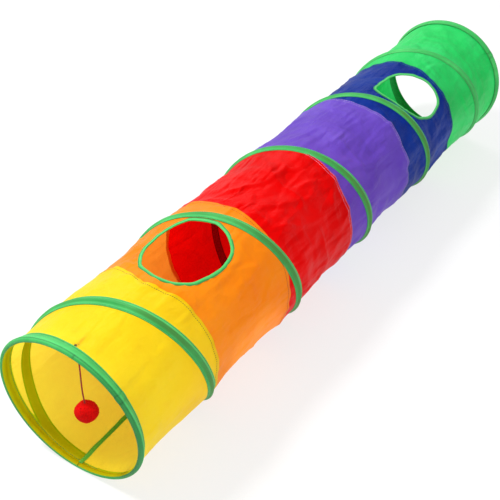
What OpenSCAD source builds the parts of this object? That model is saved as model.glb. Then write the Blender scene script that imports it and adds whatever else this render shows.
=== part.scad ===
// Pop-up agility tunnel for small pets: six fabric panels on a spring coil,
// held open between two sewn hoops, with two peep openings in the roof and a
// pompom toy hung inside the front mouth.
// Millimetres. The tunnel lies along X with the front mouth at -X and stands
// on the plane z = 0. The origin is on the floor under its middle.

/* [Panels] */
// Length of the front panel
yellow_len = 168; // [150:1:190]
// Length of the second panel, which has the first roof opening
orange_len = 199; // [190:1:230]
// Length of the third panel
red_len = 198; // [160:1:230]
// Length of the fourth panel
purple_len = 211; // [170:1:230]
// Length of the fifth panel, which has the second roof opening
blue_len = 201; // [180:1:230]
// Length of the rear panel
green_len = 223; // [180:1:250]
// Thickness of the panel cloth with its coating
cloth_t = 0.35; // [0.2:0.05:0.5]
// Outer radius of the cloth tube
cloth_r = 120.1; // [119.9:0.1:120.2]

/* [Hoops] */
// Outside diameter of the two end hoops over their binding
hoop_od = 250; // [249:0.5:252]
// Diameter of the spring wire in the hoops and the coil
wire_d = 2.4; // [1.8:0.1:2.4]
// Width of the folded tape that binds each hoop
hoop_tape_w = 15; // [13:0.5:18]
// Outside radius of the binding where it wraps the wire
hoop_sleeve_r = 4.2; // [4:0.1:4.4]
// Depth of the flat that a hoop's binding presses against the floor
floor_flat = 1; // [0.6:0.1:1.2]
// Clock angle of each crimp sleeve, clockwise from the bottom as seen from the front
ferrule_angle = 232; // [200:5:300]
// Length of a crimp sleeve along the wire
ferrule_len = 14; // [10:1:20]

/* [Coil] */
// Advance of the coil in one turn
coil_pitch = 235; // [200:5:260]
// Lead of the coil's start ahead of the front rim
coil_lead = 22; // [10:1:30]
// Clock angle where the coil starts beside the front hoop
coil_start = 8; // [4:1:30]
// Length over which the coil eases alongside each hoop
coil_ease = 6; // [3:0.5:8]
// Radius of the coil at the middle of its wire
coil_r = 121.7; // [121.6:0.1:121.9]
// Width of the tape sewn over the coil
coil_tape_w = 16; // [14:0.5:17]

/* [Roof openings] */
// Middle of the front opening, from the front rim
open1_x = 245.5; // [244:0.5:248]
// Clock angle of the front opening's middle
open1_angle = 184; // [176:1:190]
// Half of the front opening's length
open1_half_l = 71; // [60:1:71]
// Half of the front opening's width
open1_half_w = 56; // [50:1:58]
// Middle of the rear opening, from the front rim
open2_x = 891; // [888:1:894]
// Clock angle of the rear opening's middle
open2_angle = 204; // [190:1:210]
// Half of the rear opening's length
open2_half_l = 64; // [56:1:65]
// Half of the rear opening's width
open2_half_w = 51; // [46:1:52]
// Turn of the rear opening's length away from the tunnel's axis
open2_turn = 40; // [20:5:50]
// How far the narrow binding reaches over the cloth round an opening
open_bind_w = 3.5; // [2.5:0.5:4]

/* [Seams] */
// Width of a panel seam's overlocked allowance
seam_w = 5; // [4:0.5:6]
// Width of the tape over the lengthwise seam on the tunnel's floor
floor_tape_w = 10; // [6:1:12]

/* [Toy] */
// Clock angle at which the toy is tacked to the front hoop
toy_angle = 191; // [180:1:195]
// Drop from the knot to the pompom's middle
toy_drop = 101; // [80:1:110]
// Diameter of the pompom
pompom_d = 30; // [24:1:36]
// Diameter of the cord
cord_d = 1.6; // [1.2:0.1:2]

/* [Hidden] */
$fn = 96;

// Where each panel after the first starts, from the front rim
orange_x = yellow_len;
red_x = orange_x + orange_len;
purple_x = red_x + red_len;
blue_x = purple_x + purple_len;
green_x = blue_x + blue_len;
tunnel_len = green_x + green_len;

axis_z = hoop_od / 2 - floor_flat;
wire_r = wire_d / 2;
hoop_r = hoop_od / 2 - hoop_sleeve_r;         // to the middle of the hoop's wire
cloth_in = cloth_r - cloth_t;
slip = 0.15;                                  // clearance between parts that fit together
thread_r = 0.22;
hem = 2 * hoop_sleeve_r + 0.4;                // cloth and floor tape start this far from each rim

green_tape = [0.31, 0.75, 0.42];
thread = [0.45, 0.85, 0.52];
steel = [0.62, 0.63, 0.66];
toy_red = [0.78, 0.04, 0.04];

// Puts a shape made round the Z axis on the tunnel's axis, with its z = 0 at
// distance x behind the front rim. Local X points down, so a local angle is a clock angle.
module on_axis(x) {
    translate([x - tunnel_len / 2, 0, axis_z]) rotate([0, 90, 0]) children();
}

// Puts the same shape at the rear mouth, as a mirror image of the front.
module rear_end() {
    translate([tunnel_len / 2, 0, axis_z]) mirror([1, 0, 0]) rotate([0, 90, 0]) children();
}

// Faces +Z outwards at a clock angle and distance x behind the front rim.
module outward(x, angle) {
    translate([x - tunnel_len / 2, 0, axis_z]) rotate([angle - 180, 0, 0]) children();
}

module tube(r_in, r_out, len) {
    difference() {
        cylinder(r = r_out, h = len);
        translate([0, 0, -1]) cylinder(r = r_in, h = len + 2);
    }
}

// ---- end hoops ----

ferrule_r = 1.9;
hoop_tape_out = cloth_r + 1.05;               // outside of the tape where it lies on the cloth
hoop_stitch_off = 0.3;                        // middle of the thread, from the face it lies on
hoop_stitch_inset = 2;                        // thread from the tape's edge

module hoop_ring(r) {
    rotate_extrude($fn = 72) translate([hoop_r, hoop_sleeve_r]) circle(r = r, $fn = 24);
}

// A stretch of the hoop's circle, centred on the crimp sleeve
module ferrule_arc(r, len) {
    turn = len / hoop_r * 180 / PI;
    rotate([0, 0, ferrule_angle - turn / 2])
        rotate_extrude(angle = turn, $fn = 72)
            translate([hoop_r, hoop_sleeve_r]) circle(r = r, $fn = 24);
}

module hoop_binding() {
    difference() {
        union() {
            hoop_ring(hoop_sleeve_r);
            translate([0, 0, hoop_sleeve_r])
                tube(cloth_r + slip, hoop_tape_out, hoop_tape_w - hoop_sleeve_r);
        }
        hoop_ring(wire_r + 0.1);
        ferrule_arc(ferrule_r + slip, ferrule_len + 1);
    }
}

module hoop_ferrule() {
    difference() {
        ferrule_arc(ferrule_r, ferrule_len);
        ferrule_arc(wire_r + 0.05, ferrule_len + 4);
    }
}

// A ring of thread outside the tape and one inside the cloth
module hoop_stitching() {
    for (r = [hoop_tape_out + hoop_stitch_off, cloth_in - hoop_stitch_off])
        rotate_extrude($fn = 96)
            translate([r, hoop_tape_w - hoop_stitch_inset]) circle(r = thread_r, $fn = 16);
}

// Cuts away what lies below the floor.
module flattened() {
    difference() {
        children();
        translate([-tunnel_len, -hoop_od, -hoop_od])
            cube([2 * tunnel_len, 2 * hoop_od, hoop_od]);
    }
}

module front_hoop_wire() { color(steel) on_axis(0) hoop_ring(wire_r); }
module rear_hoop_wire() { color(steel) rear_end() hoop_ring(wire_r); }
module front_hoop_binding() { color(green_tape) flattened() on_axis(0) hoop_binding(); }
module rear_hoop_binding() { color(green_tape) flattened() rear_end() hoop_binding(); }
module front_hoop_ferrule() { color(steel) on_axis(0) hoop_ferrule(); }
module rear_hoop_ferrule() { color(steel) rear_end() hoop_ferrule(); }
module front_hoop_stitching() { color(thread) on_axis(0) hoop_stitching(); }
module rear_hoop_stitching() { color(thread) rear_end() hoop_stitching(); }

// ---- coil ----
// Places along the coil are given in turns, counted from the bottom.

steps_per_turn = 48;
slope = atan(coil_pitch / (2 * PI * coil_r)); // how steeply the coil climbs
edge = hoop_tape_w + 0.6;                     // the coil's tape stays this far from each rim
arch_half = 3;                                // least half width of the tape, over the wire
x_first = edge + arch_half + 0.2;             // the coil eases alongside each hoop here
x_last = tunnel_len - x_first;
turns_first = coil_start / 360;
turns_last = (tunnel_len + 2 * coil_lead) / coil_pitch - turns_first;
turns_span = turns_last - turns_first;
coil_steps = ceil(turns_span * steps_per_turn);

coil_tape_t = 0.65;
tape_base = cloth_r + 0.35 - coil_r;          // underside of the tape, from the wire's middle
tape_top = tape_base + coil_tape_t;
coil_stitch_inset = 1.3;                      // thread from the tape's edge
coil_stitch_off = 0.45;                       // middle of the thread above the tape
coil_stitch_end = 2;                          // more room between the thread's ends and the hoops

// Near 0 for negative distances and near the distance itself for positive ones,
// with a smooth bend between
function ease(distance) = coil_ease * ln(1 + exp(distance / coil_ease));

// Distance of the coil behind the front rim
function coil_x(turns) =
    let (x = x_first + ease(coil_pitch * turns - coil_lead - x_first))
    x_last - ease(x_last - x);

// Turns at a step of the coil, and the step where the uneased coil reaches x
function turns_at(step) = turns_first + turns_span * step / coil_steps;
function step_at(x) = ((x + coil_lead) / coil_pitch - turns_first) / turns_span * coil_steps;

// A point beside the coil: across it towards the rear, and out from the wire's middle
function beside(turns, across, out) =
    let (angle = 360 * turns, r = coil_r + out, back = across * sin(slope))
    [coil_x(turns) + across * cos(slope) - tunnel_len / 2,
     r * sin(angle) - back * cos(angle),
     axis_z - r * cos(angle) - back * sin(angle)];

// Sweeps a closed section along the coil. Each entry of sections lists the
// [across, out] points at one step, counted from first_step.
module swept(sections, first_step = 0) {
    n = len(sections[0]);
    last = len(sections) - 1;
    points = [for (i = [0 : last]) for (p = sections[i])
        beside(turns_at(first_step + i), p[0], p[1])];
    sides = [for (i = [0 : last - 1]) for (j = [0 : n - 1])
        let (a = i * n + j, b = i * n + (j + 1) % n, c = a + n, d = b + n)
        each [[a, b, d], [a, d, c]]];
    start_cap = [for (j = [n - 1 : -1 : 0]) j];
    end_cap = [for (j = [0 : n - 1]) last * n + j];
    polyhedron(points = points, faces = concat(sides, [start_cap], [end_cap]), convexity = 10);
}

// Tape arched over the wire, narrowed where a hoop's binding is close
function tape_section(turns) =
    let (
        front = min(coil_tape_w / 2, coil_x(turns) - edge),
        rear = min(coil_tape_w / 2, tunnel_len - edge - coil_x(turns))
    )
    [[-front, tape_base], [-1.9, tape_base], [-1.25, 1.3],
     [1.25, 1.3], [1.9, tape_base], [rear, tape_base],
     [rear, tape_top], [2.7, tape_top], [1.6, 2],
     [-1.6, 2], [-2.7, tape_top], [-front, tape_top]];

module coil_spring() {
    hexagon = [for (k = [0 : 5]) wire_r * [cos(60 * k), sin(60 * k)]];
    color(steel) swept([for (i = [0 : coil_steps]) hexagon]);
}

module coil_binding() {
    color(green_tape) swept([for (i = [0 : coil_steps]) tape_section(turns_at(i))]);
}

// Two rows of thread along the tape's edges, clear of both hoops
module coil_stitching() {
    margin = edge + coil_tape_w / 2 + coil_stitch_end;
    first = ceil(step_at(margin));
    last = floor(step_at(tunnel_len - margin));
    color(thread) for (side = [-1, 1]) {
        middle = [side * (coil_tape_w / 2 - coil_stitch_inset), tape_top + coil_stitch_off];
        triangle = [for (k = [0 : 2])
            middle + thread_r * [cos(120 * k + 30), sin(120 * k + 30)]];
        swept([for (i = [first : last]) triangle], first);
    }
}

// ---- roof openings ----

// Each opening: middle's x, clock angle, half length, half width, turn from the axis
opening1 = [open1_x, open1_angle, open1_half_l, open1_half_w, 0];
opening2 = [open2_x, open2_angle, open2_half_l, open2_half_w, open2_turn];

prism_base = 70;                              // the prism's foot, out from the tunnel's axis
prism_h = 80;
bind_t = 0.65;                                // binding on each face of the cloth
bind_inside = 3;                              // binding's reach inwards from the cloth's edge
groove_inside = 0.3;                          // room in the binding beyond the cloth's edge
open_stitch_at = 2;                           // middle of the thread, out from the cloth's edge
open_stitch_half = 0.2;

// A prism with rounded ends over an opening, grown all round by grow
module opening_prism(opening, grow, lower = 0) {
    r = opening[3] + grow;
    end_x = opening[2] - opening[3];
    outward(opening[0], opening[1])
        rotate([0, 0, -opening[4]]) translate([0, 0, prism_base - lower]) {
            for (side = [-1, 1]) translate([side * end_x, 0, 0]) cylinder(r = r, h = prism_h);
            translate([-end_x, -r, 0]) cube([2 * end_x, 2 * r, prism_h]);
        }
}

// A length of tube that passes an opening by extra at both ends
module opening_tube(opening, r_in, r_out, extra) {
    reach = opening[2] + extra;
    on_axis(opening[0] - reach) tube(r_in, r_out, 2 * reach);
}

// Edging with a groove that takes the edge of the cloth
module opening_binding(opening) {
    difference() {
        intersection() {
            opening_tube(opening, cloth_in - bind_t, cloth_r + bind_t, 30);
            opening_prism(opening, open_bind_w);
        }
        opening_prism(opening, -bind_inside, lower = 1);
        difference() {
            opening_tube(opening, cloth_in - slip, cloth_r + slip, 40);
            opening_prism(opening, -groove_inside);
        }
    }
}

module opening_stitching(opening) {
    difference() {
        intersection() {
            opening_tube(opening, cloth_r + 0.7, cloth_r + 1.1, 30);
            opening_prism(opening, open_stitch_at + open_stitch_half);
        }
        opening_prism(opening, open_stitch_at - open_stitch_half, lower = 1);
    }
}

module orange_opening_binding() { color(green_tape) opening_binding(opening1); }
module orange_opening_stitching() { color(thread) opening_stitching(opening1); }
module blue_opening_binding() { color(green_tape) opening_binding(opening2); }
module blue_opening_stitching() { color(thread) opening_stitching(opening2); }

// ---- cloth panels ----

gap = 0.2;                                    // from a panel's end to the seam's middle

module panel(x_start, x_end) {
    on_axis(x_start) tube(cloth_in, cloth_r, x_end - x_start);
}

module panel_yellow() { color([0.98, 0.86, 0.2, 0.85]) panel(hem, orange_x - gap); }
module panel_orange() {
    color([0.98, 0.56, 0.15, 0.85]) difference() {
        panel(orange_x + gap, red_x - gap);
        opening_prism(opening1, 0);
    }
}
module panel_red() { color([0.95, 0.08, 0.08, 0.85]) panel(red_x + gap, purple_x - gap); }
module panel_purple() { color([0.46, 0.33, 0.77, 0.85]) panel(purple_x + gap, blue_x - gap); }
module panel_blue() {
    color([0.12, 0.23, 0.6, 0.85]) difference() {
        panel(blue_x + gap, green_x - gap);
        opening_prism(opening2, 0);
    }
}
module panel_green() { color([0.25, 0.82, 0.45, 0.85]) panel(green_x + gap, tunnel_len - hem); }

// ---- seams, inside the tunnel ----

seam_out = cloth_in - 1.3;
seam_t = 0.5;
floor_tape_t = 0.5;
floor_tape_lift = 0.2;                        // tape above the seams at the bottom

module seam(x) {
    on_axis(x - seam_w / 2) tube(seam_out - seam_t, seam_out, seam_w);
}

module seam_yellow_orange() { color([0.95, 0.7, 0.2]) seam(orange_x); }
module seam_orange_red() { color([0.9, 0.3, 0.1]) seam(red_x); }
module seam_red_purple() { color([0.7, 0.1, 0.4]) seam(purple_x); }
module seam_purple_blue() { color([0.2, 0.2, 0.5]) seam(blue_x); }
module seam_blue_green() { color([0.1, 0.5, 0.4]) seam(green_x); }

// Tape over the lengthwise seam, along the tunnel's floor
module floor_seam_tape() {
    color(green_tape)
        translate([hem - tunnel_len / 2, -floor_tape_w / 2,
            axis_z - seam_out + seam_t + floor_tape_lift])
            cube([tunnel_len - 2 * hem, floor_tape_w, floor_tape_t]);
}

// ---- pompom toy ----

tack_r = hoop_sleeve_r - 0.2;
tack_thread_r = 0.4;
knot_r = 1.5;
bead_r = 2;                                   // ball on the cord's end, inside the pompom
knot_x = 5;                                   // behind the front rim
knot_radius = hoop_r - tack_r - tack_thread_r - 2.1; // from the tunnel's axis
knot_pos = [knot_x - tunnel_len / 2,
    knot_radius * sin(toy_angle),
    axis_z - knot_radius * cos(toy_angle)];
pompom_pos = knot_pos - [0, 0, toy_drop];

// Loop of thread through the hoop's binding
module toy_tack() {
    color(toy_red) outward(hoop_sleeve_r, toy_angle)
        translate([0, 0, hoop_r]) rotate([90, 0, 0])
            rotate_extrude($fn = 48) translate([tack_r, 0]) circle(r = tack_thread_r, $fn = 20);
}

module toy_knot() { color(toy_red) translate(knot_pos) sphere(r = knot_r, $fn = 32); }

module toy_cord() {
    color(toy_red) translate(pompom_pos) {
        cylinder(r = cord_d / 2, h = toy_drop - knot_r - 0.2, $fn = 24);
        sphere(r = bead_r, $fn = 32);
    }
}

module toy_pompom() {
    color(toy_red) translate(pompom_pos) difference() {
        sphere(r = pompom_d / 2, $fn = 64);
        sphere(r = bead_r + slip, $fn = 32);
        cylinder(r = cord_d / 2 + slip, h = pompom_d, $fn = 24);
    }
}

front_hoop_wire();
front_hoop_binding();
front_hoop_ferrule();
front_hoop_stitching();
rear_hoop_wire();
rear_hoop_binding();
rear_hoop_ferrule();
rear_hoop_stitching();
coil_spring();
coil_binding();
coil_stitching();
panel_yellow();
panel_orange();
panel_red();
panel_purple();
panel_blue();
panel_green();
seam_yellow_orange();
seam_orange_red();
seam_red_purple();
seam_purple_blue();
seam_blue_green();
orange_opening_binding();
orange_opening_stitching();
blue_opening_binding();
blue_opening_stitching();
floor_seam_tape();
toy_tack();
toy_knot();
toy_cord();
toy_pompom();
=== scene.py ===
"""A play tunnel of six coloured cloth panels, held open by a wire hoop at each end and a coil.

It lies along x with its front rim at the low end and stands on the floor at z = 0. Builders work
in millimetres: x from the front rim, a clock angle in radians from the bottom, clockwise as seen
from the front (so +y is on the left), and a radius from the tunnel's axis.
"""

import math

import bmesh
import bpy
import numpy as np
from mathutils import Matrix, Vector


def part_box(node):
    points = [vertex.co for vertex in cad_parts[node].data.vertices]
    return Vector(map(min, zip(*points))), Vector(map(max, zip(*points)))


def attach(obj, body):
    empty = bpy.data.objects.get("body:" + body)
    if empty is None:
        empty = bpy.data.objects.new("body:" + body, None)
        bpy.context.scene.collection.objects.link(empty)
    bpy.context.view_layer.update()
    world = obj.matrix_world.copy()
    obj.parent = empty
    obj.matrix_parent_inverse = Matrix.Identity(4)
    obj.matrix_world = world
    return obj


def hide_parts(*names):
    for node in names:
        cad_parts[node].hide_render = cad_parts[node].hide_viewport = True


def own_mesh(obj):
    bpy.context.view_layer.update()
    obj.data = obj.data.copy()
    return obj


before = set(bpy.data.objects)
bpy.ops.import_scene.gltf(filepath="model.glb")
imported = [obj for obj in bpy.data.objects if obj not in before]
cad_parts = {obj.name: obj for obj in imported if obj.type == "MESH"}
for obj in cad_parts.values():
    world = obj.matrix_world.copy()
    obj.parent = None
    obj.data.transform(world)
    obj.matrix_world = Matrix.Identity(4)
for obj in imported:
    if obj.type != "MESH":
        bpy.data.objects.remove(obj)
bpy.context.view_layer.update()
MM = 0.001
TAU = math.tau


# ------------------------------------------------------------------ small helpers
def smooth(value):
    """A soft step from 0 to 1."""
    value = np.clip(value, 0, 1)
    return value * value * (3 - 2 * value)


def bell(value, centre, width):
    return np.exp(-((value - centre) / width) ** 2)


def around(count):
    """Angles evenly spaced round a circle."""
    return np.linspace(0, TAU, count, endpoint=False)


def wrap(angle):
    """The same angle between minus and plus half a turn."""
    return np.mod(angle + math.pi, TAU) - math.pi


def degrees_round(clock):
    return np.degrees(np.mod(clock, TAU))


def box_mm(node):
    return [np.array(corner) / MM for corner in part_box(node)]


def centre_mm(node):
    lo, hi = box_mm(node)
    return (lo + hi) / 2


def points_mm(node):
    return np.array([v.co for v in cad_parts[node].data.vertices], float) / MM


def clock_of(points):
    return np.arctan2(points[:, 1], -(points[:, 2] - AXIS_Z))


# ------------------------------------------------------------------ sizes from the CAD
binding_lo, binding_hi = box_mm("front_hoop_binding")
wire_lo, wire_hi = box_mm("front_hoop_wire")
FRONT_X = float(binding_lo[0])
LENGTH = float(box_mm("rear_hoop_binding")[1][0] - FRONT_X)
AXIS_Z = float(wire_lo[2] + wire_hi[2]) / 2
WIRE_R = float(wire_hi[0] - wire_lo[0]) / 2
HOOP_R = float(wire_hi[2] - wire_lo[2]) / 2 - WIRE_R
SLEEVE_R = float(binding_hi[1]) - HOOP_R       # of the tape's roll round the wire
TAPE_W = float(binding_hi[0] - binding_lo[0])
CLOTH_R = float(box_mm("panel_red")[1][1])
FLAT_Z = float(binding_lo[2])                  # underside of the bindings, on the floor
LINING_END = 2 * SLEEVE_R + 2.6

SEAM_NODES = ["seam_yellow_orange", "seam_orange_red", "seam_red_purple", "seam_purple_blue",
              "seam_blue_green"]
SEAM_X = [float(centre_mm(node)[0]) - FRONT_X for node in SEAM_NODES]

# The hoops' middle planes stay rigid, and all between them flattens.
FRONT_PLANE, REAR_PLANE = TAPE_W / 2, LENGTH - TAPE_W / 2

# Pitch and phase of the coil: x = PITCH * turn + COIL_START.
coil_points = points_mm("coil_spring")
coil_points = coil_points[np.argsort(coil_points[:, 0])]
wire_x = coil_points[:, 0] - FRONT_X
wire_turns = np.unwrap(clock_of(coil_points)) / TAU
middle = (wire_x > 90) & (wire_x < LENGTH - 90)
PITCH, COIL_START = map(float, np.polyfit(wire_turns[middle], wire_x[middle], 1))
COIL_START -= PITCH * round(COIL_START / PITCH)
whole_turns = round(float(np.median(
    wire_turns[middle] - (wire_x[middle] - COIL_START) / PITCH)))
FIRST_TURN = float(wire_turns.min()) - whole_turns
LAST_TURN = float(wire_turns.max()) - whole_turns
COIL_FRONT = float(wire_x[0]) + WIRE_R - 0.2
COIL_REAR = LENGTH - COIL_FRONT
COIL_R = CLOTH_R + 1.6
COIL_EASE = 6.0                                # how softly the coil settles beside a hoop
COIL_HALF = 8.6                                # half the width of the coil's tape
WAIST = 5.6                                    # how far the cloth sinks between wires


def coil_x(turn):
    """The coil's place along the tunnel after some turns. It eases alongside each hoop."""
    turn = np.asarray(turn, float)

    def ease(distance):
        return COIL_EASE * np.logaddexp(0, distance / COIL_EASE)

    x = COIL_FRONT + ease(PITCH * turn + COIL_START - COIL_FRONT)
    x = COIL_REAR - ease(COIL_REAR - x)
    return x + 8.5 * bell(360 * turn, 66, 28)


def coil_slope(turn):
    """The angle between the coil and a plain ring."""
    turn = np.asarray(turn)
    rise = (coil_x(turn + 0.004) - coil_x(turn - 0.004)) / 0.008
    return np.arctan(rise / (TAU * COIL_R))


SHRINK = 0.040                                 # how far the cloth draws in the front hoop
LEAN_Z, LEAN_Y = -0.042, -0.037                # the front hoop's lean forward, per mm of z and y


def place(x, clock, radius):
    """Row-frame millimetres of a point on the tunnel.

    The front hoop is drawn in and leans forward at the top, and the middle's top is raised.
    """
    x, clock, radius = np.broadcast_arrays(
        np.asarray(x, float), np.asarray(clock, float), np.asarray(radius, float))
    y, z = radius * np.sin(clock), AXIS_Z - radius * np.cos(clock)
    scale = 1 - SHRINK * (1 - smooth((x - 14) / 105))
    lean = 1 - 0.72 * smooth((x - 5) / 11) - 0.28 * smooth((x - 14) / 60)
    leant_x = x + lean * (LEAN_Z * (z - AXIS_Z) + LEAN_Y * y - 1.0)
    raised = 3.0 * smooth((x - 110) / 240) * smooth((900 - x) / 260)
    return np.stack([leant_x + FRONT_X, y * scale,
                     z * scale + raised * np.clip(z, 0, None) / 248], -1)


def outward(clock):
    return np.stack([0 * clock, np.sin(clock), -np.cos(clock)], -1)


def distance_round(clock, centre):
    """Distance in mm round the cloth from a clock angle."""
    return wrap(clock - centre) * CLOTH_R


# ------------------------------------------------------------------ noise
def noise(x, clock, cell, count, seed, skew=0.0):
    """Smooth value noise from -1 to 1: cells of some mm along x, and a count of them round."""
    rows = int(3000 / cell) + 4
    grid = np.random.RandomState(seed).rand(rows, count) * 2 - 1
    along = (np.asarray(x, float) + 900) / cell
    round_ = (np.asarray(clock, float) + skew * np.asarray(x, float)) / TAU * count
    along, round_ = np.broadcast_arrays(along, round_)
    i, j = np.floor(along).astype(int), np.floor(round_).astype(int)
    part_i, part_j = [part ** 3 * (part * (part * 6 - 15) + 10)
                      for part in (along - i, round_ - j)]
    i = np.clip(i, 0, rows - 2)
    j, next_j = j % count, (j + 1) % count
    return ((grid[i, j] * (1 - part_i) + grid[i + 1, j] * part_i) * (1 - part_j)
            + (grid[i, next_j] * (1 - part_i) + grid[i + 1, next_j] * part_i) * part_j)


def crumple(x, clock, size, seed, skew):
    """Facets with sharp folds between them, size mm across."""
    count = max(int(TAU * CLOTH_R / size), 5)
    shift_x = 0.45 * size * noise(x, clock, size * 1.7, max(count * 3 // 5, 4), seed + 1)
    shift_clock = (0.45 * size / CLOTH_R
                   * noise(x, clock, size * 1.5, max(count * 2 // 3, 4), seed + 2))
    shifted = clock + shift_clock
    coarse = np.abs(noise(x + shift_x, shifted, size, count, seed + 3, skew))
    finer = np.abs(noise(x - shift_x, shifted, size * 0.8, count + 3, seed + 4, -1.3 * skew))
    return 1.1 - 1.9 * coarse - 1.2 * finer * coarse ** 0.5


# ------------------------------------------------------------------ cloth surface
def coil_passes(x, clock, margin):
    """For each pass of the coil: turn, whether the coil reaches it, distance behind it."""
    part = np.mod(clock, TAU) / TAU
    for whole in range(-1, int(LAST_TURN) + 2):
        turn = whole + part
        there = (turn >= FIRST_TURN - margin) & (turn <= LAST_TURN + margin)
        yield turn, there, x - coil_x(turn)


def wire_gaps(x, clock):
    """Distances along the tunnel to the next wire in front and the next behind."""
    front = x - SLEEVE_R
    rear = (LENGTH - SLEEVE_R) - x
    for _, there, distance in coil_passes(x, clock, 0.06):
        front = np.where(there & (distance >= 0) & (distance < front), distance, front)
        rear = np.where(there & (distance < 0) & (-distance < rear), -distance, rear)
    return np.maximum(front, 0), np.maximum(rear, 0)


def covered(x, clock):
    """How far across a tape a point of cloth lies: under 1 it has tape over it."""
    half = TAPE_W / 2
    out = np.minimum(np.abs(x - half) / half, np.abs(LENGTH - x - half) / half)
    for turn, there, distance in coil_passes(x, clock, 0.024):
        share = np.abs(distance) * np.cos(coil_slope(turn)) / COIL_HALF
        out = np.where(there & (share < out), share, out)
    return np.minimum(out, 3.0)


def cloth_smooth(x, clock):
    """Radius of the cloth between the wires, before creases."""
    front, rear = wire_gaps(x, clock)
    span = front + rear + 1e-6
    neck = 1 - np.abs(2 * front / span - 1) ** 1.75
    return CLOTH_R - 0.2 - WAIST * np.clip(span / PITCH, 0, 1.15) ** 1.6 * neck


SEAM_SWAY = [1.6, 2.2, 4.2, 3.0, 5.0]          # how far each seam wanders
PLEAT_HEIGHT = [1.25, 0.9, 0.85, 0.8, 0.8]     # of the pleats at each seam


def seam_line(k, clock):
    """x of seam k at a clock angle. The first one swings forward at the top."""
    x = SEAM_X[k]
    if k == 0:
        x = x + 8 - 17 * bell(degrees_round(clock), 182, 22)
    return (x + SEAM_SWAY[k] * noise(40 * k, clock, 60, 9, 70 + k)
            + 0.9 * noise(40 * k, clock, 60, 34, 80 + k))


def seam_relief(x, clock):
    """The folded allowance under each seam stands a little proud on the front side."""
    out = 0.0
    for k in range(5):
        ahead = seam_line(k, clock) - x
        out = (out + 0.55 * smooth((ahead + 0.4) / 0.8) * smooth((6.6 - ahead) / 1.4)
               - 0.35 * bell(ahead, 5.4, 0.7))
    return out


# Strength of each kind of creasing, panel by panel from the front.
SOFT_FOLDS = [0.7, 0.9, 1.15, 1.5, 1.2, 0.9]
FACETS = [0.4, 0.8, 1.5, 0.8, 1.0, 0.8]
CROSS_CREASES = [0.25, 0.9, 0.6, 0.45, 0.5, 0.5]


def panel_blend(x, values):
    """A value for each panel, blended across the seams."""
    return values[0] + sum((values[k + 1] - values[k]) * smooth((x - SEAM_X[k] + 12) / 24)
                           for k in range(5))


# The main creases: start x, start clock degrees, end x, end clock degrees, height.
FOLDS = [
    (323, 196, 338, 214, 1.7), (281, 221, 320, 231, 1.2), (293, 238, 263, 237, 1.2),
    (329, 220, 356, 233, 1.2), (239, 127, 275, 126, 1.2), (284, 126, 293, 147, 1.0),
    (257, 208, 302, 219, 1.0), (323, 226, 242, 234, 1.0), (341, 241, 296, 258, 0.9),
    (191, 150, 149, 184, 1.8), (182, 163, 146, 190, -1.5), (152, 163, 149, 186, 1.3),
    (179, 183, 155, 197, 1.3), (170, 193, 182, 210, 1.0), (170, 203, 125, 205, 1.2),
    (179, 220, 104, 215, 1.0), (122, 228, 83, 225, 1.0), (74, 166, 35, 177, 0.9),
    (395, 160, 455, 181, 1.9), (350, 168, 368, 193, 1.4), (404, 198, 485, 214, 1.7),
    (359, 215, 431, 227, 1.5), (467, 160, 398, 167, 1.4), (521, 185, 449, 181, 1.7),
    (536, 198, 413, 209, 1.4), (422, 184, 368, 193, 1.2), (443, 217, 368, 226, 1.3),
    (470, 203, 554, 216, 1.5), (380, 214, 521, 237, 1.5), (551, 203, 467, 219, 1.2),
    (764, 172, 632, 167, 1.6), (659, 174, 581, 161, 1.5), (800, 216, 641, 222, 1.3),
    (764, 233, 611, 221, 1.3), (767, 199, 608, 198, 1.2), (557, 215, 623, 234, 1.1),
    (974, 124, 836, 145, 1.3), (809, 243, 854, 277, 1.2), (974, 222, 995, 237, 1.0),
    (797, 264, 848, 249, 1.0), (1007, 189, 995, 215, 1.5), (986, 199, 1049, 209, 1.2),
    (1028, 234, 1064, 270, 1.1), (1094, 141, 1034, 183, 1.0), (1043, 276, 1130, 274, 1.0)]
# The same creases again, 9 mm on and 163 degrees round.
FOLDS += [(x0 + 9, (start + 163) % 360, x1 + 9, (start + 163) % 360 + end - start, height)
          for x0, start, x1, end, height in FOLDS]
FOLDS = np.array(FOLDS, float)
FOLD_HEIGHT = FOLDS[:, 4]


def fold_places(x, clock):
    """For each fold: distance across it, positive on its steep side, and its fullness there."""
    x, clock = x[..., None], clock[..., None]
    from_x = x - FOLDS[:, 0]
    from_round = distance_round(clock, np.radians(FOLDS[:, 1]))
    run_x = FOLDS[:, 2] - FOLDS[:, 0]
    run_round = np.radians(FOLDS[:, 3] - FOLDS[:, 1]) * CLOTH_R
    size = np.hypot(run_x, run_round)
    part = (from_x * run_x + from_round * run_round) / size ** 2
    across = (from_round * run_x - from_x * run_round) / size
    hand = np.where(np.arange(len(FOLDS)) % 2 == 0, 1.0, -1.0)
    bow = 0.07 * size * np.sin(math.pi * np.clip(part, -0.2, 1.2)) * hand
    return (across - bow) * hand, smooth((part + 0.16) / 0.42) * smooth((1.16 - part) / 0.5)


def crease_height(x, clock):
    """Long creases with a sharp crest, steeper on one side."""
    across, fullness = fold_places(x, clock)
    crest = (np.exp(-np.abs(across) / np.where(across > 0, 2.6, 7.5))
             - 0.35 * bell(across, 7.0, 3.2))
    return (1.6 * FOLD_HEIGHT * crest * fullness).sum(-1)


def crease_shade(x, clock):
    """How much each point lies on a crease's steep side."""
    across, fullness = fold_places(x, clock)
    return np.clip((FOLD_HEIGHT / 1.5 * bell(across, 2.6, 2.3) * fullness).sum(-1), 0, 1)


TACK_CLOCK = math.radians(185.5)               # where the toy is tacked to the front hoop


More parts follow.
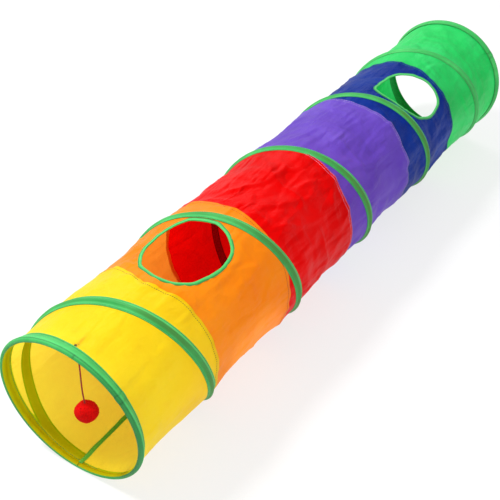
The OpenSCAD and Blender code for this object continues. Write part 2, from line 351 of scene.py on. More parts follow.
def wrinkles(x, clock):
    """Height of all creasing at points of cloth. It dies away beside the wires."""
    to_wire = np.minimum(*wire_gaps(x, clock))
    pin = smooth((to_wire - 7) / 22)
    # tension folds along the tunnel, in patches, and soft dents
    folds = (1.7 * noise(x, clock, 120, 30, 12, 0.0011)
             * smooth(0.5 + 0.9 * noise(x, clock, 150, 7, 11)))
    folds += (1.0 * noise(x, clock, 85, 44, 13, -0.0016)
              * smooth(0.5 + noise(x, clock, 120, 8, 14)))
    folds += 1.5 * noise(x, clock, 70, 11, 15, 0.001)
    out = folds * panel_blend(x, SOFT_FOLDS)
    # facets of two sizes
    patches = 0.35 + 0.65 * smooth(0.5 + 1.2 * noise(x, clock, 130, 6, 25))
    facets = (1.5 * crumple(x, clock, 52, 200, 0.003)
              + 0.75 * crumple(x, clock, 27, 210, -0.004) * patches)
    out = out + facets * panel_blend(x, FACETS)
    # fine creases that run round the tunnel
    fine = (noise(x, clock, 5.5, 14, 220, 0.012)
            * smooth(0.35 + 1.1 * noise(x, clock, 60, 9, 221)))
    out = out + 0.42 * fine * panel_blend(x, CROSS_CREASES)
    out = (out + crease_height(x, clock)) * pin
    # pleats where panels are sewn together
    for k in range(5):
        behind = x - seam_line(k, clock)
        pleats = (1.1 * noise(behind * 0.35, clock, 30, 50, 31 + k)
                  + 0.75 * (1 - 2 * np.abs(noise(behind * 0.6, clock, 40, 29, 41 + k))))
        height = PLEAT_HEIGHT[k] * (0.5 + smooth(0.5 + noise(x, clock, 90, 6, 51 + k)))
        if k == 0:
            height = height * (1 + 1.1 * bell(degrees_round(clock), 168, 24))
        out = out + (pleats * np.exp(-np.abs(behind) / 17.0) * height
                     * smooth((to_wire - 3) / 9))
    # the toy's tack pinches the cloth behind the rim
    from_x, from_round = x - 19.0, distance_round(clock, TACK_CLOCK)
    reach = np.hypot(from_x, from_round)
    star = 0.9 * np.cos(5 * np.arctan2(from_round, from_x) + 0.6)
    pinch = -1.5 * bell(reach, 0, 4.5) + star * np.exp(-reach / 16.0) * smooth(reach / 5)
    return out + pinch * smooth((x - 13) / 4)


# ------------------------------------------------------------------ roof openings
def opening_point(opening, angle, reach):
    """(x, clock) of a point at some angle and reach from an opening's middle."""
    return (opening["x"] + reach * np.cos(angle),
            opening["clock"] + reach * np.sin(angle) / CLOTH_R)


def opening_shape(opening, angle):
    """A rounded squarish outline with one bulge, one dent and slight ripples."""
    along = np.abs(np.cos(angle - opening["turn"])) / opening["half_length"]
    across = np.abs(np.sin(angle - opening["turn"])) / opening["half_width"]
    power = opening["power"]
    reach = (along ** power + across ** power) ** (-1 / power)
    bulge_at, bulge, bulge_width = opening["bulge"]
    dent_at, dent = opening["dent"]
    reach = (reach + bulge * bell(wrap(angle - math.radians(bulge_at)), 0, bulge_width)
             - dent * bell(wrap(angle - math.radians(dent_at)), 0, 0.45))
    return reach * (1 + 0.008 * np.sin(5 * angle + 1.0) + 0.006 * np.sin(9 * angle + 0.4)
                    + 0.004 * np.sin(14 * angle + 2.0))


def make_opening(colour, body, seam_x, shift_x, shift_degrees, **shape):
    """An opening whose middle is its CAD binding's, with a small shift."""
    node = colour + "_opening_binding"
    clocks = np.mod(clock_of(points_mm(node)), TAU)
    opening = {
        "colour": colour, "body": body, "seam_x": seam_x,
        "x": float(centre_mm(node)[0]) - FRONT_X + shift_x,
        "clock": float(clocks.min() + clocks.max()) / 2 + math.radians(shift_degrees), **shape}
    opening["turn"] = math.radians(opening["turn"])
    # its binding stays clear of the coil's tape beside it
    angles = around(360)
    edge = opening_shape(opening, angles)
    for i, angle in enumerate(angles):
        for _ in range(60):
            x, clock = opening_point(opening, angle, edge[i])
            gap = min(abs(x - float(coil_x(k + clock / TAU))) for k in range(6))
            if gap > COIL_HALF + 5.6:
                break
            edge[i] -= 0.4
    window = np.hanning(9) / np.hanning(9).sum()
    padded = np.concatenate([edge[-8:], edge, edge[:8]])
    soft = np.convolve(padded, window, "same")[8:-8]
    opening["angles"] = np.append(angles, TAU)
    opening["edge"] = np.append(np.minimum(soft, edge + 0.6), soft[0])
    return opening


# bulge: degrees, height, width in radians. dent: degrees, depth.
OPENINGS = [
    make_opening("orange", "seam_1", SEAM_X[0], shift_x=2.0, shift_degrees=-1.6,
                 half_length=70.5, half_width=60.0, turn=4.0, power=2.2,
                 bulge=(50, 5.5, 0.5), dent=(224, 5.0)),
    make_opening("blue", "seam_4", SEAM_X[3], shift_x=5.5, shift_degrees=1.6,
                 half_length=71.5, half_width=57.0, turn=39.0, power=1.72,
                 bulge=(228, 3.5, 0.16), dent=(262, 1.5))]


def opening_edge(opening, angle):
    return np.interp(np.mod(angle, TAU), opening["angles"], opening["edge"])


def opening_polar(opening, x, clock):
    """Reach and angle of points from an opening's middle, and the edge's reach there."""
    from_x, from_round = x - opening["x"], distance_round(clock, opening["clock"])
    angle = np.arctan2(from_round, from_x)
    return np.hypot(from_x, from_round), angle, opening_edge(opening, angle)


def cloth(x, clock, wrinkled=True):
    """Radius of the finished cloth. Each opening's binding draws the cloth by it in."""
    radius = cloth_smooth(x, clock)
    height = wrinkles(x, clock) if wrinkled else 0.0
    for i, opening in enumerate(OPENINGS):
        reach, angle, rim = opening_polar(opening, x, clock)
        edge = reach - rim
        height = height * smooth((edge - 1.0) / 16)
        radius = radius - 1.5 * np.exp(-np.maximum(edge, 0) / 13.0)
        if wrinkled:
            ripple = np.sin(angle * 23 + 2 * np.sin(angle * 3 + i))
            height = height + 0.7 * ripple * np.exp(-np.abs(edge - 5) / 6.0) * smooth(edge / 4)
    return radius + height


# ------------------------------------------------------------------ meshes
def make_mesh(name, verts, faces, uv=None, uv_faces=None):
    """A smooth mesh from row-frame millimetres. uv_faces picks the UV of each face corner."""
    mesh = bpy.data.meshes.new(name)
    mesh.from_pydata((np.asarray(verts, float) * MM).tolist(), [],
                     [list(map(int, face)) for face in faces])
    mesh.update()
    if uv is not None:
        corners = [int(i) for face in (faces if uv_faces is None else uv_faces) for i in face]
        layer = mesh.uv_layers.new(name="uv")
        layer.data.foreach_set("uv", np.asarray(uv)[corners].astype(np.float32).ravel())
    mesh.polygons.foreach_set("use_smooth", np.ones(len(mesh.polygons), bool))
    obj = bpy.data.objects.new(name, mesh)
    bpy.context.scene.collection.objects.link(obj)
    return obj


def grid_faces(rows, columns, closed=False, flip=False):
    """Quads of a grid that wraps across its columns, and along its rows if closed."""
    out = []
    for i in range(rows if closed else rows - 1):
        this_row, next_row = i * columns, (i + 1) % rows * columns
        for j in range(columns):
            next_j = (j + 1) % columns
            quad = (this_row + j, this_row + next_j, next_row + next_j, next_row + j)
            out.append((quad[0], quad[3], quad[2], quad[1]) if flip else quad)
    return out


def tube_faces(rows, columns, closed=False):
    faces = grid_faces(rows, columns, closed)
    if not closed:
        faces += [tuple(range(columns - 1, -1, -1)),
                  tuple((rows - 1) * columns + j for j in range(columns))]
    return faces


def edit_mesh(obj, edit):
    work = bmesh.new()
    work.from_mesh(obj.data)
    edit(work)
    work.to_mesh(obj.data)
    work.free()
    return obj


def fix_normals(obj):
    return edit_mesh(obj, lambda work: bmesh.ops.recalc_face_normals(work, faces=work.faces[:]))


def set_marks(obj, values):
    """Stores up to three numbers a vertex, for the material to use."""
    count = len(obj.data.vertices)
    values = np.asarray(values, np.float32).reshape(count, -1)
    colours = np.zeros((count, 4), np.float32)
    colours[:, :values.shape[1]] = values
    colours[:, 3] = 1
    attribute = obj.data.attributes.new("marks", "FLOAT_COLOR", "POINT")
    attribute.data.foreach_set("color", colours.ravel())


def sweep(name, sections, closed=False, marks=None):
    """A skin over closed loops of points: (stations, points, 3) in row-frame mm."""
    sections = np.asarray(sections, float)
    rows, columns = sections.shape[:2]
    steps = np.linalg.norm(np.diff(sections.mean(1), axis=0), axis=1)
    along = np.concatenate([[0], np.cumsum(steps)])
    round_ = np.linspace(0, 1, columns, endpoint=False) * 30
    uv = np.stack(np.broadcast_arrays(along[:, None], round_[None, :]), -1).reshape(-1, 2)
    obj = make_mesh(name, sections.reshape(-1, 3), tube_faces(rows, columns, closed), uv)
    if marks is not None:
        set_marks(obj, marks)
    return fix_normals(obj)


def join(objs, name):
    bpy.ops.object.select_all(action="DESELECT")
    for obj in objs:
        obj.select_set(True)
    bpy.context.view_layer.objects.active = objs[0]
    bpy.ops.object.join()
    objs[0].name = name
    objs[0].data.name = name
    return objs[0]


def finish_piece(obj, material, body, node, squash_x=None):
    if material is not None:
        obj.data.materials.clear()
        obj.data.materials.append(material)
    if squash_x is not None:
        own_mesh(obj)
    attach(obj, body)
    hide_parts(node)


# ------------------------------------------------------------------ materials
def srgb(*levels):
    """Linear colour from 0-255 display levels."""
    parts = [level / 255.0 for level in levels]
    return tuple(c / 12.92 if c <= 0.04045 else ((c + 0.055) / 1.055) ** 2.4
                 for c in parts) + (1.0,)


def grey(level):
    return (level, level, level, 1)


def scaled(colour, red, green, blue):
    return (colour[0] * red, colour[1] * green, colour[2] * blue, 1)


class Material:
    """A short way to write a node tree. Each method returns an output socket."""

    def __init__(self, name):
        self.material = bpy.data.materials.new(name)
        self.material.use_nodes = True
        self.tree = self.material.node_tree
        self.tree.nodes.clear()
        self.end = self.tree.nodes.new("ShaderNodeOutputMaterial")

    def node(self, kind, inputs=None, output=0, **settings):
        node = self.tree.nodes.new("ShaderNode" + kind)
        for key, value in settings.items():
            setattr(node, key, value)
        for key, value in (inputs or {}).items():
            if isinstance(value, bpy.types.NodeSocket):
                self.tree.links.new(value, node.inputs[key])
            else:
                node.inputs[key].default_value = value
        return node.outputs[output]

    def place(self):
        return self.node("TexCoord", output="Object")

    def uv(self):
        return self.node("UVMap", output="UV", uv_map="uv")

    def marks(self):
        colour = self.node("Attribute", output="Color", attribute_name="marks")
        return list(self.node("SeparateColor", {0: colour}).node.outputs)

    def noise(self, coord, scale, detail=2.0, roughness=0.5, distortion=0.0, output="Fac"):
        return self.node("TexNoise", {"Scale": scale, "Detail": detail, "Roughness": roughness,
                                      "Distortion": distortion, "Vector": coord}, output)

    def wave(self, coord, scale, direction, distortion=0.0):
        return self.node("TexWave", {"Scale": scale, "Distortion": distortion, "Vector": coord},
                         "Fac", wave_type="BANDS", bands_direction=direction)

    def ramp(self, factor, *stops):
        output = self.node("ValToRGB", {"Fac": factor}, "Color")
        elements = output.node.color_ramp.elements
        while len(elements) > 1:
            elements.remove(elements[-1])
        elements[0].position, elements[0].color = stops[0]
        for position, colour in stops[1:]:
            elements.new(position).color = colour
        return output

    def calc(self, operation, *values):
        return self.node("Math", dict(enumerate(values)), operation=operation)

    def mix(self, factor, first, second, blend="MIX"):
        # 0, 6 and 7 are a colour mix's inputs, 2 its output
        return self.node("Mix", {0: factor, 6: first, 7: second}, 2,
                         data_type="RGBA", blend_type=blend)

    def bump(self, height, distance, strength=1.0, normal=None):
        inputs = {"Strength": strength, "Distance": distance, "Height": height}
        if normal is not None:
            inputs["Normal"] = normal
        return self.node("Bump", inputs, "Normal")

    def principled(self, inputs):
        return self.node("BsdfPrincipled", inputs)

    def finish(self, shader):
        self.tree.links.new(shader, self.end.inputs["Surface"])
        return self.material

    def finish_mixed(self, factor, first, second):
        return self.finish(self.node("MixShader", {0: factor, 1: first, 2: second}))


# Long thin creases in the cloth: turn, scale along, scale across, strength, texture offset.
LINE_CREASES = [(0.22, 0.0055, 0.026, 1.0, 3.0), (-0.42, 0.008, 0.034, 0.7, 11.0),
                (1.2, 0.010, 0.038, 0.5, 23.0), (0.12, 0.011, 0.085, 0.26, 37.0)]


def cloth_material(name, base, deep, light, through, crinkle, glow,
                   tape_shade_tint=(0.40, 0.46, 0.35, 1), spec=0.24):
    """Thin taffeta: plain weave, crinkles, a little sheen, and light that comes through it.

    marks: how far across a tape / 2, for the tapes' painted shade inside; painted shade where
    the toy's tack pinches the cloth; painted shade on the steep side of a crease.
    """
    mat = Material(name)
    uv = mat.uv()
    # colour drift over the cloth
    big = mat.noise(uv, scale=0.011, detail=3.0, roughness=0.55)
    mid = mat.noise(uv, scale=0.04, detail=3.0, roughness=0.55, distortion=0.3)
    drift = mat.ramp(big, (0.3, deep), (0.5, base), (0.74, light))
    mottle = mat.ramp(mid, (0.25, deep), (0.45, base), (0.62, base), (0.8, light))
    colour = mat.mix(0.4, drift, mottle)
    # crinkles: facets of two sizes, stronger in patches
    warp = mat.noise(uv, scale=0.035, detail=3.0, roughness=0.6, output="Color")
    warped = mat.node("VectorMath", {0: warp, 1: (12, 12, 0), 2: uv}, operation="MULTIPLY_ADD")
    coarse, small = [mat.node("TexVoronoi", {"Scale": scale, "Vector": warped}, "Distance",
                              feature="F1") for scale in (0.036, 0.085)]
    patches = mat.ramp(mat.noise(uv, scale=0.014), (0.38, grey(0.08)), (0.62, grey(1)))
    facets = mat.calc("ADD", coarse, mat.calc("MULTIPLY", small, 0.35))
    facets = mat.calc("MULTIPLY", facets, patches)
    fine = mat.noise(uv, scale=0.17, detail=5.0, roughness=0.62, distortion=0.5)
    # plain weave: two sets of threads
    weave = mat.calc("MULTIPLY", *[mat.wave(uv, scale=0.42, direction=axis, distortion=0.6)
                                   for axis in "XY"])
    colour = mat.mix(mat.calc("MULTIPLY", weave, 0.05), colour, light)
    total = None
    for turn, along, across, strength, offset in LINE_CREASES:
        mapped = mat.node("Mapping", {
            "Rotation": (0, 0, turn), "Scale": (along, across, 1),
            "Location": (offset, offset * 1.7, 0), "Vector": warped})
        line = mat.calc("SUBTRACT", mat.noise(mapped, scale=1.0, detail=0.4), 0.5)
        line = mat.calc("MULTIPLY", mat.calc("ABSOLUTE", line), strength * 4.0)
        total = line if total is None else mat.calc("ADD", total, line)
    normal = mat.bump(mat.calc("MULTIPLY", total, patches), distance=0.0046 * crinkle)
    normal = mat.bump(facets, distance=0.0008 * crinkle, normal=normal)
    normal = mat.bump(fine, distance=0.0015, strength=0.55, normal=normal)
    normal = mat.bump(weave, distance=0.00012, strength=0.5, normal=normal)
    # inside the tunnel the cloth is matter; where a tape is sewn on outside it gets painted
    # shade, a tinted silhouette of the tape with darker lines along its edges
    back = mat.node("NewGeometry", output="Backfacing")
    across_tape, pinch, steep = mat.marks()
    over = mat.ramp(across_tape, (0.0, grey(0.62)), (0.34, grey(0.48)), (0.40, grey(1)),
                    (0.48, grey(1)), (0.515, grey(0)))
    # painted shade: the steep side of a crease is darkened, and so is the cloth by the tack's
    # pinch
    steep = mat.calc("MULTIPLY", steep, 0.62 if crinkle < 0.7 else 0.5)
    colour = mat.mix(steep, colour, scaled(deep, 0.80, 0.66, 0.66))
    colour = mat.mix(pinch, colour, (deep[0] * 0.78, deep[1] * 0.46, deep[2] * 0.4 + 0.008, 1))
    # painted shade of the tapes, on the inside only
    shade = mat.calc("MULTIPLY", mat.calc("MULTIPLY", over, back), 1.0)
    tape_shaded = mat.mix(1.0, colour, tape_shade_tint, "MULTIPLY")
    inner = mat.mix(shade, colour, tape_shaded)
    # painted shade: low down inside, the cloth is darkened to a warmer ochre
    height = mat.node("SeparateXYZ", {0: mat.place()}, "Z")
    # 1-4 are from min, from max, to min and to max
    low_painted_shade = mat.node("MapRange", {0: height, 1: 0.012, 2: 0.075, 3: 1.0, 4: 0.0},
                   interpolation_type="SMOOTHSTEP")
    low_painted_shade = mat.calc("MULTIPLY", mat.calc("MULTIPLY", low_painted_shade, back), 0.75)
    inner = mat.mix(low_painted_shade, inner, mat.mix(1.0, inner, (0.84, 0.70, 0.35, 1), "MULTIPLY"))
    passed = mat.mix(0.3, through, colour)
    # the light let through gets the same painted shade under the tapes
    passed = mat.mix(shade, passed, mat.mix(1.0, passed, tape_shade_tint, "MULTIPLY"))
    roughness = mat.calc("ADD", mat.calc("MULTIPLY_ADD", mid, 0.18, 0.34),
                         mat.calc("MULTIPLY", back, 0.25))
    solid = mat.principled({
        "Base Color": inner, "Roughness": roughness, "Normal": normal,
        "Specular IOR Level": mat.calc("MULTIPLY_ADD", back, -0.65 * spec, spec),
        "Specular Tint": tuple(0.35 + 0.65 * level for level in light[:3]) + (1,)})
    translucent = mat.node("BsdfTranslucent", {"Color": passed, "Normal": normal})
    return mat.finish_mixed(glow, solid, translucent)


def tape_material(name, base, deep, light, olive):
    """Woven binding tape: ribs across it, dark stitch lines and paler edges that are painted
    shade and painted highlight, soft sheen.

    marks: how dark (painted shade), how pale (painted highlight) and how olive (deeper as
    painted shade on the shaded side) the tape is.
    """
    mat = Material(name)
    coord = mat.place()
    big = mat.noise(coord, scale=16.0, detail=4.0, roughness=0.6)
    colour = mat.mix(0.55, mat.ramp(big, (0.32, deep), (0.5, base), (0.72, light)), base)
    rib = mat.wave(mat.uv(), scale=0.3, direction="X", distortion=0.8)
    fine = mat.noise(coord, scale=260.0, detail=4.0, roughness=0.65)
    colour = mat.mix(mat.calc("MULTIPLY", rib, 0.10), colour, light)
    painted_shade_mark, painted_highlight_mark, olive_and_shade_mark = mat.marks()
    patchy = mat.ramp(mat.noise(coord, scale=22.0), (0.35, grey(0.35)), (0.6, grey(1)))
    # olive with some painted shade, then painted highlight, then painted shade, from the marks
    colour = mat.mix(mat.calc("MULTIPLY", olive_and_shade_mark, patchy), colour, olive)
    colour = mat.mix(painted_highlight_mark, colour, light)
    colour = mat.mix(painted_shade_mark, colour, scaled(deep, 0.25, 0.35, 0.3))
    normal = mat.bump(rib, distance=0.0002, strength=0.6)
    normal = mat.bump(fine, distance=0.0005, strength=0.4, normal=normal)
    solid = mat.principled({
        "Base Color": colour, "Roughness": mat.calc("MULTIPLY_ADD", big, 0.2, 0.40),
        "Sheen Weight": 0.06, "Specular IOR Level": 0.4, "Normal": normal})
    translucent = mat.node("BsdfTranslucent", {"Color": mat.mix(0.5, colour, light)})
    return mat.finish_mixed(0.18, solid, translucent)


def thread_material(name, base, light):
    mat = Material(name)
    coord = mat.place()
    mottle = mat.noise(coord, scale=300.0, detail=3.0, roughness=0.6)
    twist = mat.wave(coord, scale=500.0, direction="DIAGONAL")
    return mat.finish(mat.principled({
        "Base Color": mat.ramp(mottle, (0.35, base), (0.65, light)),
        "Roughness": 0.5, "Sheen Weight": 0.05,
        "Normal": mat.bump(twist, distance=0.0001, strength=0.5)}))


def steel_material(name, base):
    mat = Material(name)
    grain = mat.noise(mat.place(), scale=180.0, detail=5.0, roughness=0.7)
    return mat.finish(mat.principled({
        "Base Color": mat.ramp(grain, (0.3, scaled(base, 0.6, 0.6, 0.62)), (0.6, base),
                               (0.8, (0.8, 0.8, 0.82, 1))),
        "Metallic": 1.0, "Roughness": mat.calc("MULTIPLY_ADD", grain, 0.25, 0.2),
        "Normal": mat.bump(grain, distance=0.00005, strength=0.2)}))


def pompom_material(name):
    mat = Material(name)
    coord = mat.place()
    fine = mat.noise(coord, scale=420.0, detail=4.0, roughness=0.7)
    broad = mat.noise(coord, scale=90.0, detail=3.0, roughness=0.6)
    strands = mat.ramp(fine, (0.3, srgb(168, 0, 2)), (0.5, srgb(226, 0, 2)),
                       (0.72, srgb(250, 18, 12)))
    clumps = mat.ramp(broad, (0.35, srgb(196, 0, 2)), (0.65, srgb(240, 4, 4)))
    return mat.finish(mat.principled({
        "Base Color": mat.mix(0.4, strands, clumps), "Roughness": 0.85,
        "Sheen Weight": 0.35, "Sheen Tint": srgb(255, 90, 70), "Specular IOR Level": 0.15,
        "Normal": mat.bump(fine, distance=0.0004, strength=0.6)}))


def floor_material(name):
    """Pale and mostly glowing, so that shadows stay faint."""
    mat = Material(name)
    drift = mat.noise(mat.place(), scale=3.0, detail=3.0)
    solid = mat.principled({
        "Base Color": mat.ramp(drift, (0.3, grey(0.90)), (0.7, grey(0.92))),
        "Roughness": 0.8, "Specular IOR Level": 0.1})
    glow = mat.node("Emission", {"Color": grey(1), "Strength": 1.0})
    return mat.finish_mixed(0.72, solid, glow)


# each colour's tint is the colour of the painted shade under a tape, seen from inside
CLOTH = {
    "yellow": cloth_material(
        "cloth_yellow", base=srgb(248, 222, 14), deep=srgb(240, 204, 2),
        light=srgb(254, 236, 36), through=srgb(255, 232, 90), crinkle=0.42, glow=0.45,
        tape_shade_tint=(0.55, 0.95, 0.10, 1)),
    "orange": cloth_material(
        "cloth_orange", base=srgb(255, 152, 14), deep=srgb(250, 136, 6),
        light=srgb(255, 168, 34), through=srgb(255, 160, 60), crinkle=0.62, glow=0.40,
        tape_shade_tint=(0.5, 0.7, 0.3, 1)),
    "red": cloth_material(
        "cloth_red", base=srgb(236, 0, 0), deep=srgb(212, 0, 0), light=srgb(250, 8, 8),
        through=srgb(252, 10, 4), crinkle=1.0, glow=0.35, tape_shade_tint=(0.40, 0.4, 0.4, 1), spec=0.12),
    "purple": cloth_material(
        "cloth_purple", base=srgb(116, 80, 204), deep=srgb(98, 64, 184),
        light=srgb(134, 100, 220), through=srgb(124, 82, 214), crinkle=0.62, glow=0.35,
        spec=0.16),
    "blue": cloth_material(
        "cloth_blue", base=srgb(14, 50, 146), deep=srgb(6, 34, 120), light=srgb(28, 70, 168),
        through=srgb(14, 50, 160), crinkle=0.75, glow=0.3, spec=0.12),
    "green": cloth_material(
        "cloth_green", base=srgb(48, 224, 112), deep=srgb(28, 202, 92),
        light=srgb(78, 242, 140), through=srgb(14, 196, 84), crinkle=0.55, glow=0.38),
}
TAPE = tape_material("green_tape", base=srgb(42, 182, 84), deep=srgb(24, 146, 60),
                     light=srgb(100, 232, 126), olive=srgb(86, 152, 50))
FLOOR_TAPE = tape_material("floor_tape", base=srgb(84, 180, 56), deep=srgb(52, 140, 38),
                           light=srgb(128, 214, 86), olive=srgb(104, 170, 62))
GREEN_THREAD = thread_material("thread_green", srgb(20, 112, 50), srgb(60, 168, 90))
DARK_THREAD = thread_material("thread_dark", srgb(84, 60, 6), srgb(120, 92, 20))
VIOLET_THREAD = thread_material("thread_violet", srgb(120, 104, 170), srgb(206, 198, 226))
RED_THREAD = thread_material("thread_red", srgb(110, 0, 0), srgb(170, 16, 10))
STEEL = steel_material("spring_steel", (0.5, 0.51, 0.54, 1))
FERRULE = steel_material("ferrule_steel", (0.42, 0.42, 0.44, 1))
POMPOM = pompom_material("pompom_yarn")
CORD = thread_material("toy_cord", srgb(128, 0, 2), srgb(168, 4, 6))
TACK = thread_material("toy_tack_thread", srgb(22, 60, 26), srgb(60, 70, 20))

# ------------------------------------------------------------------ cloth panels
# Panels from the front: colour, the body each rides on, and the x it flattens towards.
PANELS = [("yellow", "front_end", FRONT_PLANE), ("orange", "seam_1", SEAM_X[0]),
          ("red", "seam_2", SEAM_X[1]), ("purple", "seam_3", SEAM_X[2]),
          ("blue", "seam_4", SEAM_X[3]), ("green", "rear_end", REAR_PLANE)]
PANEL_COLUMNS = 264


def panel_grid(k):
    """Grids of x and clock angle for panel k, from its front seam to its rear one."""
    clock = np.linspace(0, TAU, PANEL_COLUMNS + 1)
    front = seam_line(k - 1, clock) if k > 0 else np.full_like(clock, LINING_END - 1.2)
    rear = seam_line(k, clock) if k < 5 else np.full_like(clock, LENGTH - LINING_END + 1.2)
    part = np.linspace(0, 1, int(round((rear - front).mean() / 3.0)) + 1)
    # rows crowd a little towards the panel's middle
    part = part + 0.0275 * np.sin(TAU * part)
    x = front[None, :] + (rear - front)[None, :] * part[:, None]
    return x, np.broadcast_to(clock[None, :], x.shape).copy()


def cut_opening(opening, x, clock, keep):
    """Drops the grid's quads inside an opening and draws the quads it cuts to its edge."""
    rows, columns = x.shape
    reach, angle, rim = opening_polar(opening, x, clock)
    inside = reach < rim
    corners = [inside[:-1, :-1], inside[1:, :-1], inside[:-1, 1:], inside[1:, 1:]]
    gone = np.logical_and.reduce(corners)
    mixed = np.logical_or.reduce(corners) & ~gone
    keep &= ~gone
    touched = np.zeros_like(inside)
    for i, j in ((0, 0), (1, 0), (0, 1), (1, 1)):
        touched[i:rows - 1 + i, j:columns - 1 + j] |= mixed
    move = touched & inside
    edge_x, edge_clock = opening_point(opening, angle, rim)
    return np.where(move, edge_x, x), np.where(move, edge_clock, clock)


def drop_loose(work):
    loose = [v for v in work.verts if not v.link_faces]
    bmesh.ops.delete(work, geom=loose, context="VERTS")


def build_panel(k):
    colour, body, squash_x = PANELS[k]
    x, clock = panel_grid(k)
    rows, columns = x.shape
    keep = np.ones((rows - 1, columns - 1), bool)
    for opening in OPENINGS:
        x, clock = cut_opening(opening, x, clock, keep)
    verts = place(x, clock, cloth(x, clock) + seam_relief(x, clock)).reshape(-1, 3)
    uv = np.stack([x, clock * CLOTH_R], -1).reshape(-1, 2)
    row, column = np.nonzero(keep)
    first = row * columns + column
    faces = np.stack([first, first + 1, first + columns + 1, first + columns], -1)
    # the last column is the first one again, so the sheet closes on itself
    merged = np.where(faces % columns == columns - 1, faces - (columns - 1), faces)
    obj = make_mesh("cloth_" + colour, verts, merged, uv, uv_faces=faces)
    # painted shade where the tack pinches the cloth, with a streak of it running back, and
    # painted shade on the creases' steep sides
    from_tack = distance_round(clock, TACK_CLOCK)
    pinch = (bell(x, 18.5, 3.0) * bell(from_tack, 0, 2.6)
             + 0.95 * bell(x, 27, 7.5) * bell(from_tack + 0.06 * (x - 18), 0, 1.9))
    # how far across a tape, which the material turns into painted shade inside
    cover = covered(x, clock)
    set_marks(obj, np.stack([cover / 2, 0.85 * np.clip(pinch, 0, 1),
                             crease_shade(x, clock) * (1 - cover)], -1))
    edit_mesh(obj, drop_loose)
    finish_piece(obj, CLOTH[colour], body, "panel_" + colour, squash_x)


for k in range(6):
    build_panel(k)

# ------------------------------------------------------------------ hoop bindings
LAP_DEGREES = 229                              # where the hoop tape's ends lap, on the right
STITCHED_ROWS = (4, 13)                        # hoop_section's rows that carry stitching


def end_x(x, rear):
    """x from the front rim, of a point given from either rim."""
    return LENGTH - x if rear else x


def roll_point(angle, radius):
    """(x, radius) round the hoop's wire: angle 0 faces into the tunnel, 90 degrees outward."""
    return SLEEVE_R + radius * np.cos(angle), HOOP_R + radius * np.sin(angle)


def hoop_circle(clock, angles, radius, rear):
    x, from_axis = roll_point(angles, radius)
    return place(end_x(x, rear), clock, from_axis)


def hoop_section(clock, rear):
    """Outside of the folded tape, from the flange's raw edge to the roll's end inside the rim.

    Rows are x, radius, then how dark, pale and olive the tape is: the dark is painted shade at
    the raw edge, in the stitch grooves and on the roll's front face, the pale is painted
    highlight on the flange's lip and over the roll's top.
    """
    wobble = (0.24 * float(noise(200 * rear, clock, 60, 60, 101))
              + 0.26 * float(noise(200 * rear, clock, 60, 17, 102)))
    pucker = 0.16 * float(noise(250 * rear, clock, 60, 150, 104))
    edge = TAPE_W + 0.35 * float(noise(300 * rear, clock, 60, 30, 103)) - 0.3
    flange = CLOTH_R + 0.85 + 0.6 * wobble
    puckered = flange + pucker
    top = HOOP_R + SLEEVE_R - 0.1 + 0.5 * wobble
    rows = [
        (edge, flange - 0.35, 0.8, 0, 0), (edge - 0.25, flange, 0.45, 0, 0),
        (edge - 0.8, puckered + 0.14, 0, 0.45, 0), (edge - 1.3, puckered + 0.02, 0.1, 0.1, 0),
        (edge - 1.7, flange - 0.16, 0.72, 0, 0), (edge - 2.1, puckered + 0.1, 0.1, 0, 0.1),
        (11.6, puckered + 0.95, 0, 0.12, 0.15),
        (10.2, flange + 1.75 + 0.8 * pucker, 0, 0.1, 0.2),
        (8.6, flange + 2.7 + 0.5 * pucker, 0, 0.15, 0.1), (7.2, top - 0.62, 0, 0.3, 0),
        (6.0, top - 0.12, 0, 0.45, 0), (5.1, top + 0.05, 0.05, 0.3, 0),
        (4.5, top - 0.12, 0.3, 0, 0), (4.0, top - 0.62, 0.9, 0, 0),
        (3.4, top - 0.28, 0.35, 0, 0)]
    for degrees in (107, 117, 128, 140, 152, 164, 177, 190, 203, 216):
        x, radius = roll_point(np.radians(degrees), SLEEVE_R - 0.15 + 0.25 * wobble)
        rows.append((x, radius, 0.12 + 0.2 * smooth((degrees - 150) / 50.0),
                     0.2 * bell(degrees, 122, 12.0), 0))
    return np.array(rows, float)


def hoop_tape(name, rear):
    sections, marks = [], []
    for clock in around(340):
        rows = hoop_section(clock, rear)
        degrees = math.degrees(clock)
        # the tape stands higher where its ends lap
        from_lap = (degrees - LAP_DEGREES + 180) % 360 - 180
        lap = 0.45 * smooth((from_lap + 2.4) / 0.8) * smooth((2.4 - from_lap) / 0.8)
        slope = np.gradient(rows[:, :2], axis=0)
        size = np.hypot(slope[:, 0], slope[:, 1]) + 1e-9
        normal = np.stack([slope[:, 1], -slope[:, 0]], -1) / size[:, None]
        outer = rows[:, :2] + normal * lap
        inner = outer - normal * 0.45
        x, radius = np.concatenate([outer, inner[::-1]]).T
        points = place(end_x(x, rear), clock, radius)
        # the tape is pressed flat where it stands on the floor
        points[:, 2] = np.maximum(points[:, 2], FLAT_Z + 0.02)
        sections.append(points)
        shades = rows[:, 2:].copy()
        # the rear hoop gets less painted highlight and less olive
        if rear:
            shades[:, 1] *= 0.35
            shades[:, 2] *= 0.2
        else:
            # painted shade on the right: the slope behind the roll is more olive and the roll's
            # front darker
            right = smooth((degrees - 190) / 40.0) * smooth((335 - degrees) / 40.0)
            shades[6:9, 2] += 0.35 * right
            shades[14:, 0] += 0.46 * right
        # painted shade along the step where the tape's ends lap
        shades[:, 0] += 0.35 * bell(abs(from_lap), 2.6, 0.5)
        marks.append(np.concatenate([shades, shades[::-1]]))
    return sweep(name, sections, closed=True, marks=marks)


